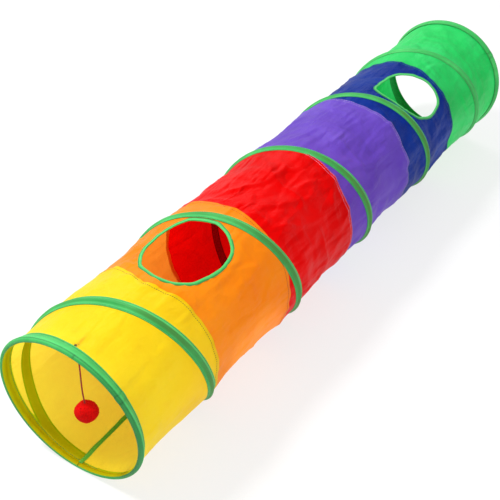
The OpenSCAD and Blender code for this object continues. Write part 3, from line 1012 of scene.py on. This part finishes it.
def hoop_lining(rear):
    """The end panel's cloth, carried round the inside of the roll to the rim."""
    degrees = np.array([203, 214, 226, 240, 254, 268, 282, 296, 308, 318], float)
    x, radius = roll_point(np.radians(degrees), SLEEVE_R - 0.32)
    x = np.concatenate([x, [2 * SLEEVE_R + 0.5, 2 * SLEEVE_R + 1.4, LINING_END]])
    radius = np.concatenate([radius, [CLOTH_R - 0.9, CLOTH_R - 0.35, CLOTH_R - 0.25]])
    rows = len(x)
    x, clock = np.broadcast_arrays(x[:, None], around(340)[None, :])
    pucker = (0.22 * noise(x * 0.4, clock, 30, 64, 106)
              + 0.18 * noise(x * 0.4, clock, 30, 23, 107))
    points = place(end_x(x, rear), clock, radius[:, None] + pucker * smooth((x - 0.5) / 3.0))
    points[..., 2] = np.maximum(points[..., 2], FLAT_Z + 0.6)
    uv = np.stack([x, clock * CLOTH_R], -1).reshape(-1, 2)
    lining = make_mesh("lining", points.reshape(-1, 3), grid_faces(rows, 340, flip=rear), uv)
    # the lining lies under the hoop's tape, so inside it takes the tape's painted shade
    set_marks(lining, np.full((rows * 340, 1), 0.25))
    lining.data.materials.append(CLOTH["green" if rear else "yellow"])
    return lining


def build_hoop(end):
    rear = end == "rear"
    body = end + "_end"
    tape = hoop_tape(end + "_hoop_tape", rear)
    tape.data.materials.append(TAPE)
    tape = join([tape, hoop_lining(rear)], end + "_hoop_tape")
    finish_piece(tape, None, body, end + "_hoop_binding")
    ring = [hoop_circle(clock, around(10), WIRE_R, rear) for clock in around(180)]
    ring = sweep(end + "_hoop_ring", ring, closed=True)
    finish_piece(ring, STEEL, body, end + "_hoop_wire")
    # the crimp sleeve that joins the wire's ends, pinched in two places
    clocks = np.unwrap(np.sort(np.mod(clock_of(points_mm(end + "_hoop_ferrule")), TAU)))
    angles = around(14)
    crimp = []
    for part in np.linspace(0, 1, 41):
        pinch = 0.22 * (bell(part, 0.3, 0.06) + bell(part, 0.7, 0.06))
        rounding = 0.25 * (1 - smooth(min(part, 1 - part) / 0.05))
        radius = (1.85 - rounding) * (1 - pinch * np.abs(np.cos(angles)))
        clock = clocks[0] + (clocks[-1] - clocks[0]) * part
        crimp.append(hoop_circle(clock, angles, radius, rear))
    finish_piece(sweep(end + "_hoop_crimp", crimp), FERRULE, body, end + "_hoop_ferrule")


build_hoop("front")
build_hoop("rear")

# ------------------------------------------------------------------ coil tape and wire
HOOP_EDGE = TAPE_W + 0.3                       # the coil's tape stops at the hoops' tapes
# Places across the coil's tape: in from each edge, and over the wire.
EDGE_STEPS = np.array([0, 0.25, 0.8, 1.3, 1.7, 2.1, 2.8])
CROWN_STEPS = [-4.2, -3.4, -2.7, -2.0, -1.2, 0, 1.2, 2.0, 2.7, 3.4, 4.2]


def beside(turn, across):
    """(x, clock) of a point some mm across the coil from its middle, towards the rear."""
    slope = coil_slope(turn)
    return (coil_x(turn) + across * np.cos(slope),
            TAU * turn - across * np.sin(slope) / COIL_R)


def coil_section(turn):
    """Points round the coil's tape, and the marks that go with them."""
    x, slope = float(coil_x(turn)), float(coil_slope(turn))
    along = PITCH * turn
    front = -min(COIL_HALF, max((x - HOOP_EDGE) / math.cos(slope), 2.6))
    rear = min(COIL_HALF, max((LENGTH - HOOP_EDGE - x) / math.cos(slope), 2.6))
    front += 0.4 * noise(along, 0.3, 16, 5, 111) + 0.22 * noise(along, 0.3, 5, 5, 112)
    rear += 0.4 * noise(along, 1.3, 16, 5, 113) + 0.22 * noise(along, 1.3, 5, 5, 114)
    across = np.concatenate([front + EDGE_STEPS, CROWN_STEPS, (rear - EDGE_STEPS)[::-1]])
    across = np.maximum.accumulate(np.clip(across, front, rear))
    x, clock = beside(turn, across)
    base = cloth_smooth(x, clock)
    crown = 2.95 * np.exp(-(np.abs(across) / 3.1) ** 2.4)
    inset = np.minimum(across - front, rear - across)
    flange = (0.72 + 0.15 * smooth(inset / 0.8) - 0.34 * bell(inset, 1.7, 0.4)
              + 0.16 * noise(along * 6, 2.0 + across * 0.02, 30, 9, 115)
              + 0.22 * noise(along, 2.0 + across * 0.03, 14, 9, 116))
    flange = np.where(inset < 0.1, 0.3, flange)
    top = base + np.maximum(flange, 0.25) + crown
    under = np.minimum(base + 0.1 + crown * 0.8, top - 0.1)
    points = np.concatenate([place(x, clock, top), place(x[::-1], clock[::-1], under[::-1])])

    # painted highlight near each edge and on the crown's rear side, more on the right; painted
    # shade in the stitch grooves, along the raw edges and over the body, more on the right; the
    # body over the wire is olive, more so on the right as painted shade
    degrees = 360 * turn % 360
    right = smooth((degrees - 182) / 34.0) * smooth((345 - degrees) / 30.0)
    body = np.exp(-np.abs((across + 1.4 * right) / (4.3 - 0.5 * right)) ** 4)
    dark = (0.55 * bell(inset, 1.7, 0.4) + 0.75 * (inset < 0.1)
            + 0.5 * ((inset >= 0.1) & (inset < 0.35)) + (0.17 + 0.17 * right) * body)
    pale = (0.75 * bell(inset, 0.9, 0.45) * (inset > 0.35)
            + (0.25 + 0.5 * right) * bell(across, 5.2, 1.5)
            + 0.22 * (1 - right) * bell(across, -5.2, 1.2))
    olive = (0.25 + 0.6 * right) * body
    # the last turns get less painted shade, painted highlight and olive
    last = smooth((turn - 3.95) / 0.15)
    dark = np.clip(dark * (1 - 0.25 * last) - 0.3 * last * body, 0, 1)
    pale = pale * (1 - 0.5 * last) + 0.12 * last * body
    marks = np.stack([dark, pale, olive * (1 - last)], -1)
    return points, np.concatenate([marks, marks[::-1]])


def wire_section(turn):
    angles = around(8)
    x, clock = beside(turn, WIRE_R * np.cos(angles))
    return place(x, clock, COIL_R - 0.1 + WIRE_R * np.sin(angles))


def build_coil():
    span = LAST_TURN - FIRST_TURN
    sections = [coil_section(turn) for turn in
                np.linspace(FIRST_TURN - 0.022, LAST_TURN + 0.022, int(span * 210))]
    tape = sweep("coil_tape", [points for points, _ in sections],
                 marks=[marks for _, marks in sections])
    finish_piece(tape, TAPE, "rear_end", "coil_binding", REAR_PLANE)
    turns = np.linspace(FIRST_TURN + 0.004, LAST_TURN - 0.004, int(span * 120))
    wire = sweep("coil_wire", [wire_section(turn) for turn in turns])
    finish_piece(wire, STEEL, "rear_end", "coil_spring", REAR_PLANE)


build_coil()

# ------------------------------------------------------------------ stitches
# Stations along a stitch: place along it, relative thickness.
STITCH_STATIONS = [(-0.5, 0.35), (-0.3, 0.95), (0.0, 1.0), (0.3, 0.95), (0.5, 0.35)]
# Its cross-section: sideways, outward.
STITCH_RING = [(1, 0), (0.6, 0.8), (-0.6, 0.8), (-1, 0), (0, -0.7)]
STITCH_FACES = np.array(grid_faces(5, 5))
STITCH_FACES = tube_faces(5, 5)


def stitches(name, seed, line, normals, pitch=3.6, length=2.7, width=0.62, height=0.42,
             closed=True, lift=0.1):
    """Separate threads along a dense line of points, in mm. lift raises them off it."""
    line, normals = np.asarray(line, float), np.asarray(normals, float)
    if closed:
        line, normals = np.vstack([line, line[:1]]), np.vstack([normals, normals[:1]])
    along = np.concatenate([[0], np.cumsum(np.linalg.norm(np.diff(line, axis=0), axis=1))])
    count = max(int(along[-1] / pitch), 1)
    step = along[-1] / count
    random = np.random.RandomState(seed + count)
    verts, faces = [], []

    def at(places, values):
        return np.stack([np.interp(places, along, values[:, c]) for c in range(3)], -1)

    for i in range(count):
        places = np.array([(i + 0.5) * step + part * length for part, _ in STITCH_STATIONS])
        centres = at(places, line)
        normal = at(places, normals)
        normal /= np.linalg.norm(normal, axis=1)[:, None]
        tangent = centres[-1] - centres[0]
        tangent /= np.linalg.norm(tangent) + 1e-9
        side = np.cross(tangent, normal)
        side /= np.linalg.norm(side, axis=1)[:, None]
        twist = random.uniform(-0.12, 0.12)
        first = len(verts)
        for j, (part, thick) in enumerate(STITCH_STATIONS):
            rise = lift - (0.25 if abs(part) > 0.45 else 0.0)
            for sideways, out in STITCH_RING:
                verts.append(centres[j] + side[j] * (sideways * width / 2 * thick + twist * part)
                             + normal[j] * (out * height / 2 * thick + rise))
        faces += [[first + v for v in face] for face in STITCH_FACES]
    return fix_normals(make_mesh(name, verts, faces))


def build_hoop_stitches(end):
    rear = end == "rear"
    clock = around(420)
    sections = np.array([hoop_section(angle, rear) for angle in clock])
    parts = []
    for row, seed in zip(STITCHED_ROWS, (2, 3)):
        line = place(end_x(sections[:, row, 0], rear), clock, sections[:, row, 1])
        line[:, 2] = np.maximum(line[:, 2], FLAT_Z + 0.3)
        parts.append(stitches("row", seed, line, outward(clock), width=0.7, lift=0.16))
    # a row shows inside too
    line = place(end_x(TAPE_W - 2.0, rear), clock, CLOTH_R - 0.55)
    parts.append(stitches("inner_row", 4, line, -outward(clock), width=0.6))
    # bar tacks over the tape's lapped ends: x stations, and the radius at each
    stations = [0.8, 2.0, SLEEVE_R, 6.0, 8.6, 11.6, TAPE_W]
    top = HOOP_R + SLEEVE_R
    radii = [HOOP_R + 2.4, HOOP_R + 3.6, top + 0.1, top + 0.4,
             CLOTH_R + 4.1, CLOTH_R + 2.4, CLOTH_R + 1.5]
    x = np.linspace(0.8, TAPE_W - 0.8, 26)
    for offset in (-1.9, 1.9):
        clock = np.full(26, np.radians(LAP_DEGREES + offset))
        line = place(end_x(x, rear), clock, np.interp(x, stations, radii))
        parts.append(stitches("bar", 3, line, outward(clock), pitch=2.0, length=1.5,
                              width=0.6, closed=False))
    finish_piece(join(parts, end + "_hoop_stitches"), GREEN_THREAD, end + "_end",
                 end + "_hoop_stitching")


def build_coil_stitches():
    margin = HOOP_EDGE + COIL_HALF + 3
    turns = np.linspace((margin - COIL_START) / PITCH,
                        (LENGTH - margin - COIL_START) / PITCH, 2600)
    parts = []
    for side in (-1, 1):
        x, clock = beside(turns, side * (COIL_HALF - 1.7))
        line = place(x, clock, cloth_smooth(x, clock) + 0.66)
        parts.append(stitches("row", 2, line, outward(clock), width=0.7, closed=False,
                              lift=0.14))
    finish_piece(join(parts, "coil_stitches"), GREEN_THREAD, "rear_end", "coil_stitching",
                 REAR_PLANE)


build_hoop_stitches("front")
build_hoop_stitches("rear")
build_coil_stitches()

# ------------------------------------------------------------------ panel seams
SEAM_THREADS = [DARK_THREAD, RED_THREAD, VIOLET_THREAD, VIOLET_THREAD, GREEN_THREAD]
# Across the allowance: distance ahead of the seam outside and back inside, depth, flop.
ALLOWANCE_AHEAD = np.array([-0.3, 1.5, 3.6, 5.6, 7.0, 7.2, 5.6, 3.6, 1.5, -0.3])
ALLOWANCE_DEPTH = np.array([0.5, 0.6, 0.8, 1.0, 1.1])
ALLOWANCE_FLOP = np.array([0, 0.1, 0.3, 0.6, 0.8])


def seam_topstitching(k):
    """Stitching outside, ahead of the seam: one row on the first two seams, two on the rest."""
    clock = around(360)
    parts = []
    for ahead in (5.4,) if k < 2 else (5.4, 1.5):
        x = seam_line(k, clock) - ahead
        line = place(x, clock, cloth(x, clock) + seam_relief(x, clock))
        row = stitches("row", 2, line, outward(clock), pitch=3.4, length=2.8, width=0.85,
                       height=0.4)
        row.data.materials.append(SEAM_THREADS[k])
        parts.append(row)
    return parts


def seam_allowance(k):
    """The folded strip of cloth inside the tunnel, ahead of the seam."""
    clocks = around(300)
    flop = 0.5 * noise(10 * k, clocks, 60, 26, 141 + k)
    sections = []
    for i, seam_x in enumerate(seam_line(k, clocks)):
        x = seam_x - ALLOWANCE_AHEAD
        clock = np.full(5, clocks[i])
        outer = (cloth(x[:5], clock) + seam_relief(x[:5], clock)
                 - ALLOWANCE_DEPTH - ALLOWANCE_FLOP * max(float(flop[i]), -0.5))
        sections.append(place(x, clocks[i], np.concatenate([outer, outer[::-1] - 0.45])))
    strip = sweep("allowance", sections, closed=True, marks=np.ones((300 * 10, 1)))
    strip.data.materials.append(CLOTH[PANELS[k][0]])
    return strip


for k in range(5):
    rows = seam_topstitching(k)
    seam = join([seam_allowance(k)] + rows, "seam_line_%d" % (k + 1))
    finish_piece(seam, None, "seam_%d" % (k + 1), SEAM_NODES[k], SEAM_X[k])

# ------------------------------------------------------------------ opening bindings
# How dark, pale and olive the binding is at each point across it: painted shade at its edges,
# stitch groove and underside, painted highlight on its crest.
OPENING_MARKS = [(0.8, 0, 0), (0.2, 0.2, 0), (0.7, 0, 0), (0, 0.1, 0.2), (0, 0.5, 0),
                 (0, 0.4, 0), (0.1, 0.1, 0), (0.2, 0, 0), (0.3, 0, 0), (0.3, 0, 0),
                 (0.3, 0, 0), (0.3, 0, 0), (0.4, 0, 0), (0.6, 0, 0)]


def build_opening_binding(i, opening, seed):
    angles = around(220)
    kinks = (0.5 * noise(60, angles, 60, 46, 151 + i)
             + 0.5 * noise(60, angles, 60, 19, 161 + i))
    sections, line, normals = [], [], []
    for angle, kink in zip(angles, kinks):
        # from over the cloth, round the raw edge, to under it: distance out, height
        width = 4.9 + 0.6 * kink
        out, height = np.array([
            (width, 0.25), (width - 0.5, 0.75), (width - 1.2, 0.62), (width - 2.2, 1.0),
            (1.0, 1.25), (-0.5, 1.05), (-1.25, 0.35), (-1.3, -0.4), (-0.6, -1.05),
            (0.9, -1.25), (width - 2.2, -0.95), (width - 1.2, -0.7), (width - 0.4, -0.6),
            (width, -0.2)]).T
        x, clock = opening_point(opening, angle, opening_edge(opening, angle) + out)
        radius = cloth(x, clock, wrinkled=False) + height * (1 + 0.18 * kink) + 0.4 * kink
        points = place(x, clock, radius)
        sections.append(points)
        line.append(points[2])
        normals.append(outward(clock[2]))
    name, body, seam_x = opening["colour"] + "_opening_", opening["body"], opening["seam_x"]
    tape = sweep(name + "tape", sections, closed=True, marks=[OPENING_MARKS] * len(angles))
    finish_piece(tape, TAPE, body, name + "binding", seam_x)
    threads = stitches(name + "stitches", seed, line, normals, pitch=3.2, length=2.4,
                       width=0.5, height=0.34, lift=0.12)
    finish_piece(threads, GREEN_THREAD, body, name + "stitching", seam_x)


for i, seed in enumerate((23, 21)):
    build_opening_binding(i, OPENINGS[i], seed)


# ------------------------------------------------------------------ floor seam tape
def build_floor_tape():
    """A ridged tape inside, along the bottom of the tunnel."""
    sections = []
    ridge = np.array([0.3, 1.0, 0.85, 2.0, 3.1, 3.4, 3.1, 2.0, 0.85, 1.0, 0.3])
    for station in np.linspace(2 * SLEEVE_R - 1.0, LENGTH - 2 * SLEEVE_R + 1.0, 420):
        sway = 0.9 * noise(station, 0.5, 70, 5, 171) + 0.35 * noise(station, 0.5, 16, 5, 172)
        half = 3.6 + 0.4 * noise(station, 1.5, 26, 5, 173)
        across = np.array([-half, -half + 0.5, -half + 1.2, -1.5, -0.8, 0, 0.8, 1.5,
                           half - 1.2, half - 0.5, half])
        x = np.full(11, station)
        clock = (across + sway) / CLOTH_R
        # it steps in over each seam's allowance and under the hoops' tapes
        near_seam = max(bell(station, seam_x - 3, 6.0) for seam_x in SEAM_X)
        base = cloth(x, clock) - 0.35 - 1.6 * near_seam
        if station < TAPE_W + 3 or station > LENGTH - TAPE_W - 3:
            base = np.minimum(base, CLOTH_R - 1.5)
        sections.append(np.concatenate([place(x, clock, base - ridge),
                                        place(x, clock[::-1], base[::-1] + 0.05)]))
    finish_piece(sweep("floor_tape", sections), FLOOR_TAPE, "rear_end", "floor_seam_tape",
                 REAR_PLANE)


build_floor_tape()

# ------------------------------------------------------------------ toy
pompom_lo, pompom_hi = box_mm("toy_pompom")
# the pompom hangs a little to the right (-y) of its knot
BALL = (pompom_lo + pompom_hi) / 2 + np.array([0.0, -7.0, -1.5])
BALL_R = float(pompom_hi[2] - pompom_lo[2]) / 2 * 1.04
SQUAT = np.array([1.03, 1.04, 0.93])           # the pompom's scale along x, y and z
# the rim is drawn in, so the knot sits a little lower than in the CAD
KNOT = centre_mm("toy_knot") + np.array([-0.3, 0.0, -5.4])
CORD_LAY = 4.2                                 # length of one twist of the cord


def cord_ply(name, path, radius, phase=0.0):
    """One ply that twists round a path. phase is its start, as a share of a turn."""
    path = np.asarray(path, float)
    along = np.concatenate([[0], np.cumsum(np.linalg.norm(np.diff(path, axis=0), axis=1))])
    sections = []
    for i, point in enumerate(path):
        tangent = path[min(i + 1, len(path) - 1)] - path[max(i - 1, 0)]
        tangent /= np.linalg.norm(tangent)
        across = np.cross(tangent, [1.0, 0, 0] if abs(tangent[0]) < 0.9 else [0, 1.0, 0])
        across /= np.linalg.norm(across)
        other = np.cross(tangent, across)
        turn = TAU * (along[i] / CORD_LAY + phase)
        centre = point + (across * math.cos(turn) + other * math.sin(turn)) * radius * 0.45
        sections.append([centre + (across * math.cos(q) + other * math.sin(q)) * radius * 0.55
                         for q in around(7)])
    return sweep(name, sections)


def build_cord():
    part = np.linspace(0, 1, 150)
    top = KNOT + [0, -1.0, 0.4]
    path = top + (BALL + [0, 0, 2.0] - top) * part[:, None]
    path[:, 1] += 2.4 * np.sin(math.pi * part) - 0.8 * np.sin(TAU * part)
    path[:, 0] += 0.5 * np.sin(math.pi * part)
    plies = [cord_ply("ply", path, 1.3, phase) for phase in (0.0, 0.5)]
    finish_piece(join(plies, "toy_cord_laid"), CORD, "toy", "toy_cord")


def build_knot():
    """Two small turns of cord."""
    angle = np.linspace(0, 2 * TAU, 90)
    path = KNOT + np.stack([0.75 * np.sin(angle), 0.75 * np.cos(angle),
                            0.55 * np.sin(1.5 * angle)], -1)
    finish_piece(cord_ply("toy_knot_tied0", path, 0.62), CORD, "toy_knot", "toy_knot")


def build_tack():
    """Turns of thread round the hoop's roll, and a tied knot with two ends behind its tape."""
    tack = centre_mm("toy_tack")
    tack_clock = math.atan2(tack[1], -(tack[2] - AXIS_Z))
    sideways = np.array([0, math.cos(tack_clock), math.sin(tack_clock)])
    angle = around(40)
    reach = SLEEVE_R - 0.1
    loops = []
    for offset in (-0.8, 0.0, 0.8):
        x = np.maximum(tack[0] - FRONT_X + reach * np.cos(angle), 0.1)
        loop = place(x, tack_clock + (offset + 0.35 * np.sin(angle)) / HOOP_R,
                     HOOP_R + reach * np.sin(angle))
        tangents = np.roll(loop, -1, axis=0) - np.roll(loop, 1, axis=0)
        tangents /= np.linalg.norm(tangents, axis=1)[:, None]
        sections = [[point + 0.22 * (sideways * math.cos(q) + other * math.sin(q))
                     for q in around(6)]
                    for point, other in zip(loop, np.cross(tangents, sideways))]
        loops.append(sweep("loop", sections, closed=True))
    start = place(TAPE_W + 0.6, TACK_CLOCK, CLOTH_R + 0.9)
    along = np.array([1.0, 0, 0])
    out = np.array([0, math.sin(TACK_CLOCK), -math.cos(TACK_CLOCK)])
    side = np.array([0, math.cos(TACK_CLOCK), math.sin(TACK_CLOCK)])
    angle = np.linspace(0, 2.5 * TAU, 90)[:, None]
    knot = (start + 1.2 * np.sin(angle) * side + np.cos(angle) * along
            + (0.4 * np.sin(1.4 * angle) + 0.3) * out)
    ends = [cord_ply("tie", knot, 0.62)]
    part = np.linspace(0, 1, 16)[:, None]
    for sign in (-1, 1):
        tail = (start + side * sign * (0.6 + 2.4 * part)
                + along * (0.5 + (2.2 + sign) * part)
                + out * (0.5 + 0.25 * np.sin(3 * part) - 0.3 * part))
        ends.append(cord_ply("tail", tail, 0.3))
    for obj in loops:
        obj.data.materials.append(GREEN_THREAD)
    for obj in ends:
        obj.data.materials.append(TACK)
    finish_piece(join(loops + ends, "toy_tack_thread"), None, "front_end", "toy_tack")


def pompom_yarn():
    """Cut ends of yarn all over the ball, spread on a golden spiral."""
    random = np.random.RandomState(5)
    count = 3000
    i = np.arange(count) + 0.5
    polar = np.arccos(1 - 2 * i / count)
    golden = math.pi * (1 + 5 ** 0.5) * i
    ways = np.stack([np.cos(golden) * np.sin(polar), np.sin(golden) * np.sin(polar),
                     np.cos(polar)], -1)
    ways += random.normal(0, 0.035, ways.shape)
    ways /= np.linalg.norm(ways, axis=1)[:, None]
    strand_faces = grid_faces(3, 3) + [(6, 7, 8), (2, 1, 0)]
    verts, faces = [], []
    for way in ways:
        lean = way + random.normal(0, 0.16, 3)
        lean /= np.linalg.norm(lean)
        root = way * BALL_R * 0.66
        lump = 1 + 0.03 * math.sin(5 * way[0] + 2) * math.sin(4 * way[1] + 1)
        tip = way * BALL_R * (0.955 + random.uniform(-0.035, 0.03)) * lump + lean * 0.35
        halfway = (root + tip) / 2 + random.normal(0, 0.28, 3)
        across = np.cross(way, [0.3, 0.5, 0.81])
        across /= np.linalg.norm(across)
        other = np.cross(way, across)
        first = len(verts)
        for centre, radius in ((root, 0.55), (halfway, 0.5), (tip, 0.36)):
            for q in (0, 2.094, 4.189):
                verts.append(BALL + centre * SQUAT
                             + (across * math.cos(q) + other * math.sin(q)) * radius)
        faces += [[first + v for v in face] for face in strand_faces]
    return fix_normals(make_mesh("yarn", verts, faces))


def pompom_core():
    """A dense lumpy ball under the yarn's ends."""
    bpy.ops.mesh.primitive_ico_sphere_add(subdivisions=5, radius=1.0, location=(0, 0, 0))
    core = bpy.context.object
    mesh = core.data
    ways = np.array([v.co for v in mesh.vertices], float)
    ways /= np.linalg.norm(ways, axis=1)[:, None]
    x, y, z = ways.T
    radius = BALL_R * (0.905 + 0.02 * np.sin(19 * x + 3 * np.sin(13 * y)) * np.sin(17 * z)
                       + 0.012 * np.sin(31 * y + 5 * z))
    points = (ways * radius[:, None] * SQUAT + BALL) * MM
    mesh.vertices.foreach_set("co", points.astype(np.float32).ravel())
    mesh.update()
    mesh.polygons.foreach_set("use_smooth", np.ones(len(mesh.polygons), bool))
    for layer in list(mesh.uv_layers):
        mesh.uv_layers.remove(layer)
    return core


build_cord()
build_knot()
build_tack()
yarn = pompom_yarn()
finish_piece(join([pompom_core(), yarn], "toy_pompom_yarn"), POMPOM, "toy", "toy_pompom")


# ------------------------------------------------------------------ stage, light, camera
def build_floor():
    bpy.ops.mesh.primitive_plane_add(size=30, location=(0, 0, 0))
    floor = bpy.context.object
    floor.name = "floor"
    floor.data.materials.append(floor_material("floor_pale"))


def build_world():
    world = bpy.data.worlds.new("studio")
    bpy.context.scene.world = world
    world.use_nodes = True
    background = world.node_tree.nodes["Background"]
    background.inputs["Color"].default_value = (1.0, 1.0, 1.0, 1)
    background.inputs["Strength"].default_value = 0.62


def disk_light(name, location, target, size, power):
    """A white disk of light. Places and size are in metres, power in watts."""
    light = bpy.data.lights.new(name, "AREA")
    light.shape = "DISK"
    light.size = size
    light.energy = power
    light.color = (1, 1, 1)
    obj = bpy.data.objects.new(name, light)
    bpy.context.scene.collection.objects.link(obj)
    obj.location = location
    aim = Vector(target) - Vector(location)
    obj.rotation_euler = aim.to_track_quat("-Z", "Y").to_euler()


def build_camera():
    """Stands ahead of the front rim, above and to the right, and looks along the tunnel."""
    lens = bpy.data.cameras.new("camera")
    camera = bpy.data.objects.new("camera", lens)
    bpy.context.scene.collection.objects.link(camera)
    yaw, pitch, roll = math.radians(31.67), math.radians(-37.68), math.radians(3.10)
    forward = Vector((math.cos(pitch) * math.cos(yaw), math.cos(pitch) * math.sin(yaw),
                      math.sin(pitch)))
    level_right = Vector((math.sin(yaw), -math.cos(yaw), 0))
    level_up = level_right.cross(forward)
    right = level_right * math.cos(roll) + level_up * math.sin(roll)
    up = -level_right * math.sin(roll) + level_up * math.cos(roll)
    rotation = Matrix((right, up, -forward)).transposed()
    location = Vector((FRONT_X * MM - 0.5941, -0.6342, AXIS_Z * MM + 0.928))
    camera.matrix_world = Matrix.Translation(location) @ rotation.to_4x4()
    lens.sensor_width = 36.0
    lens.lens = 67.392
    lens.clip_start = 0.01
    bpy.context.scene.camera = camera


build_floor()
build_world()
disk_light("key", location=(-0.9, 1.3, 2.3), target=(0.0, 0, 0.1), size=0.55, power=60)
disk_light("sheen", location=(1.3, 1.4, 1.5), target=(0.1, 0, 0.15), size=1.2, power=14)
disk_light("fill", location=(-1.6, -2.2, 1.6), target=(0.0, 0, 0.1), size=2.0, power=23)
build_camera()
bpy.context.scene.view_settings.view_transform = "Standard"
bpy.context.scene.view_settings.look = "None"
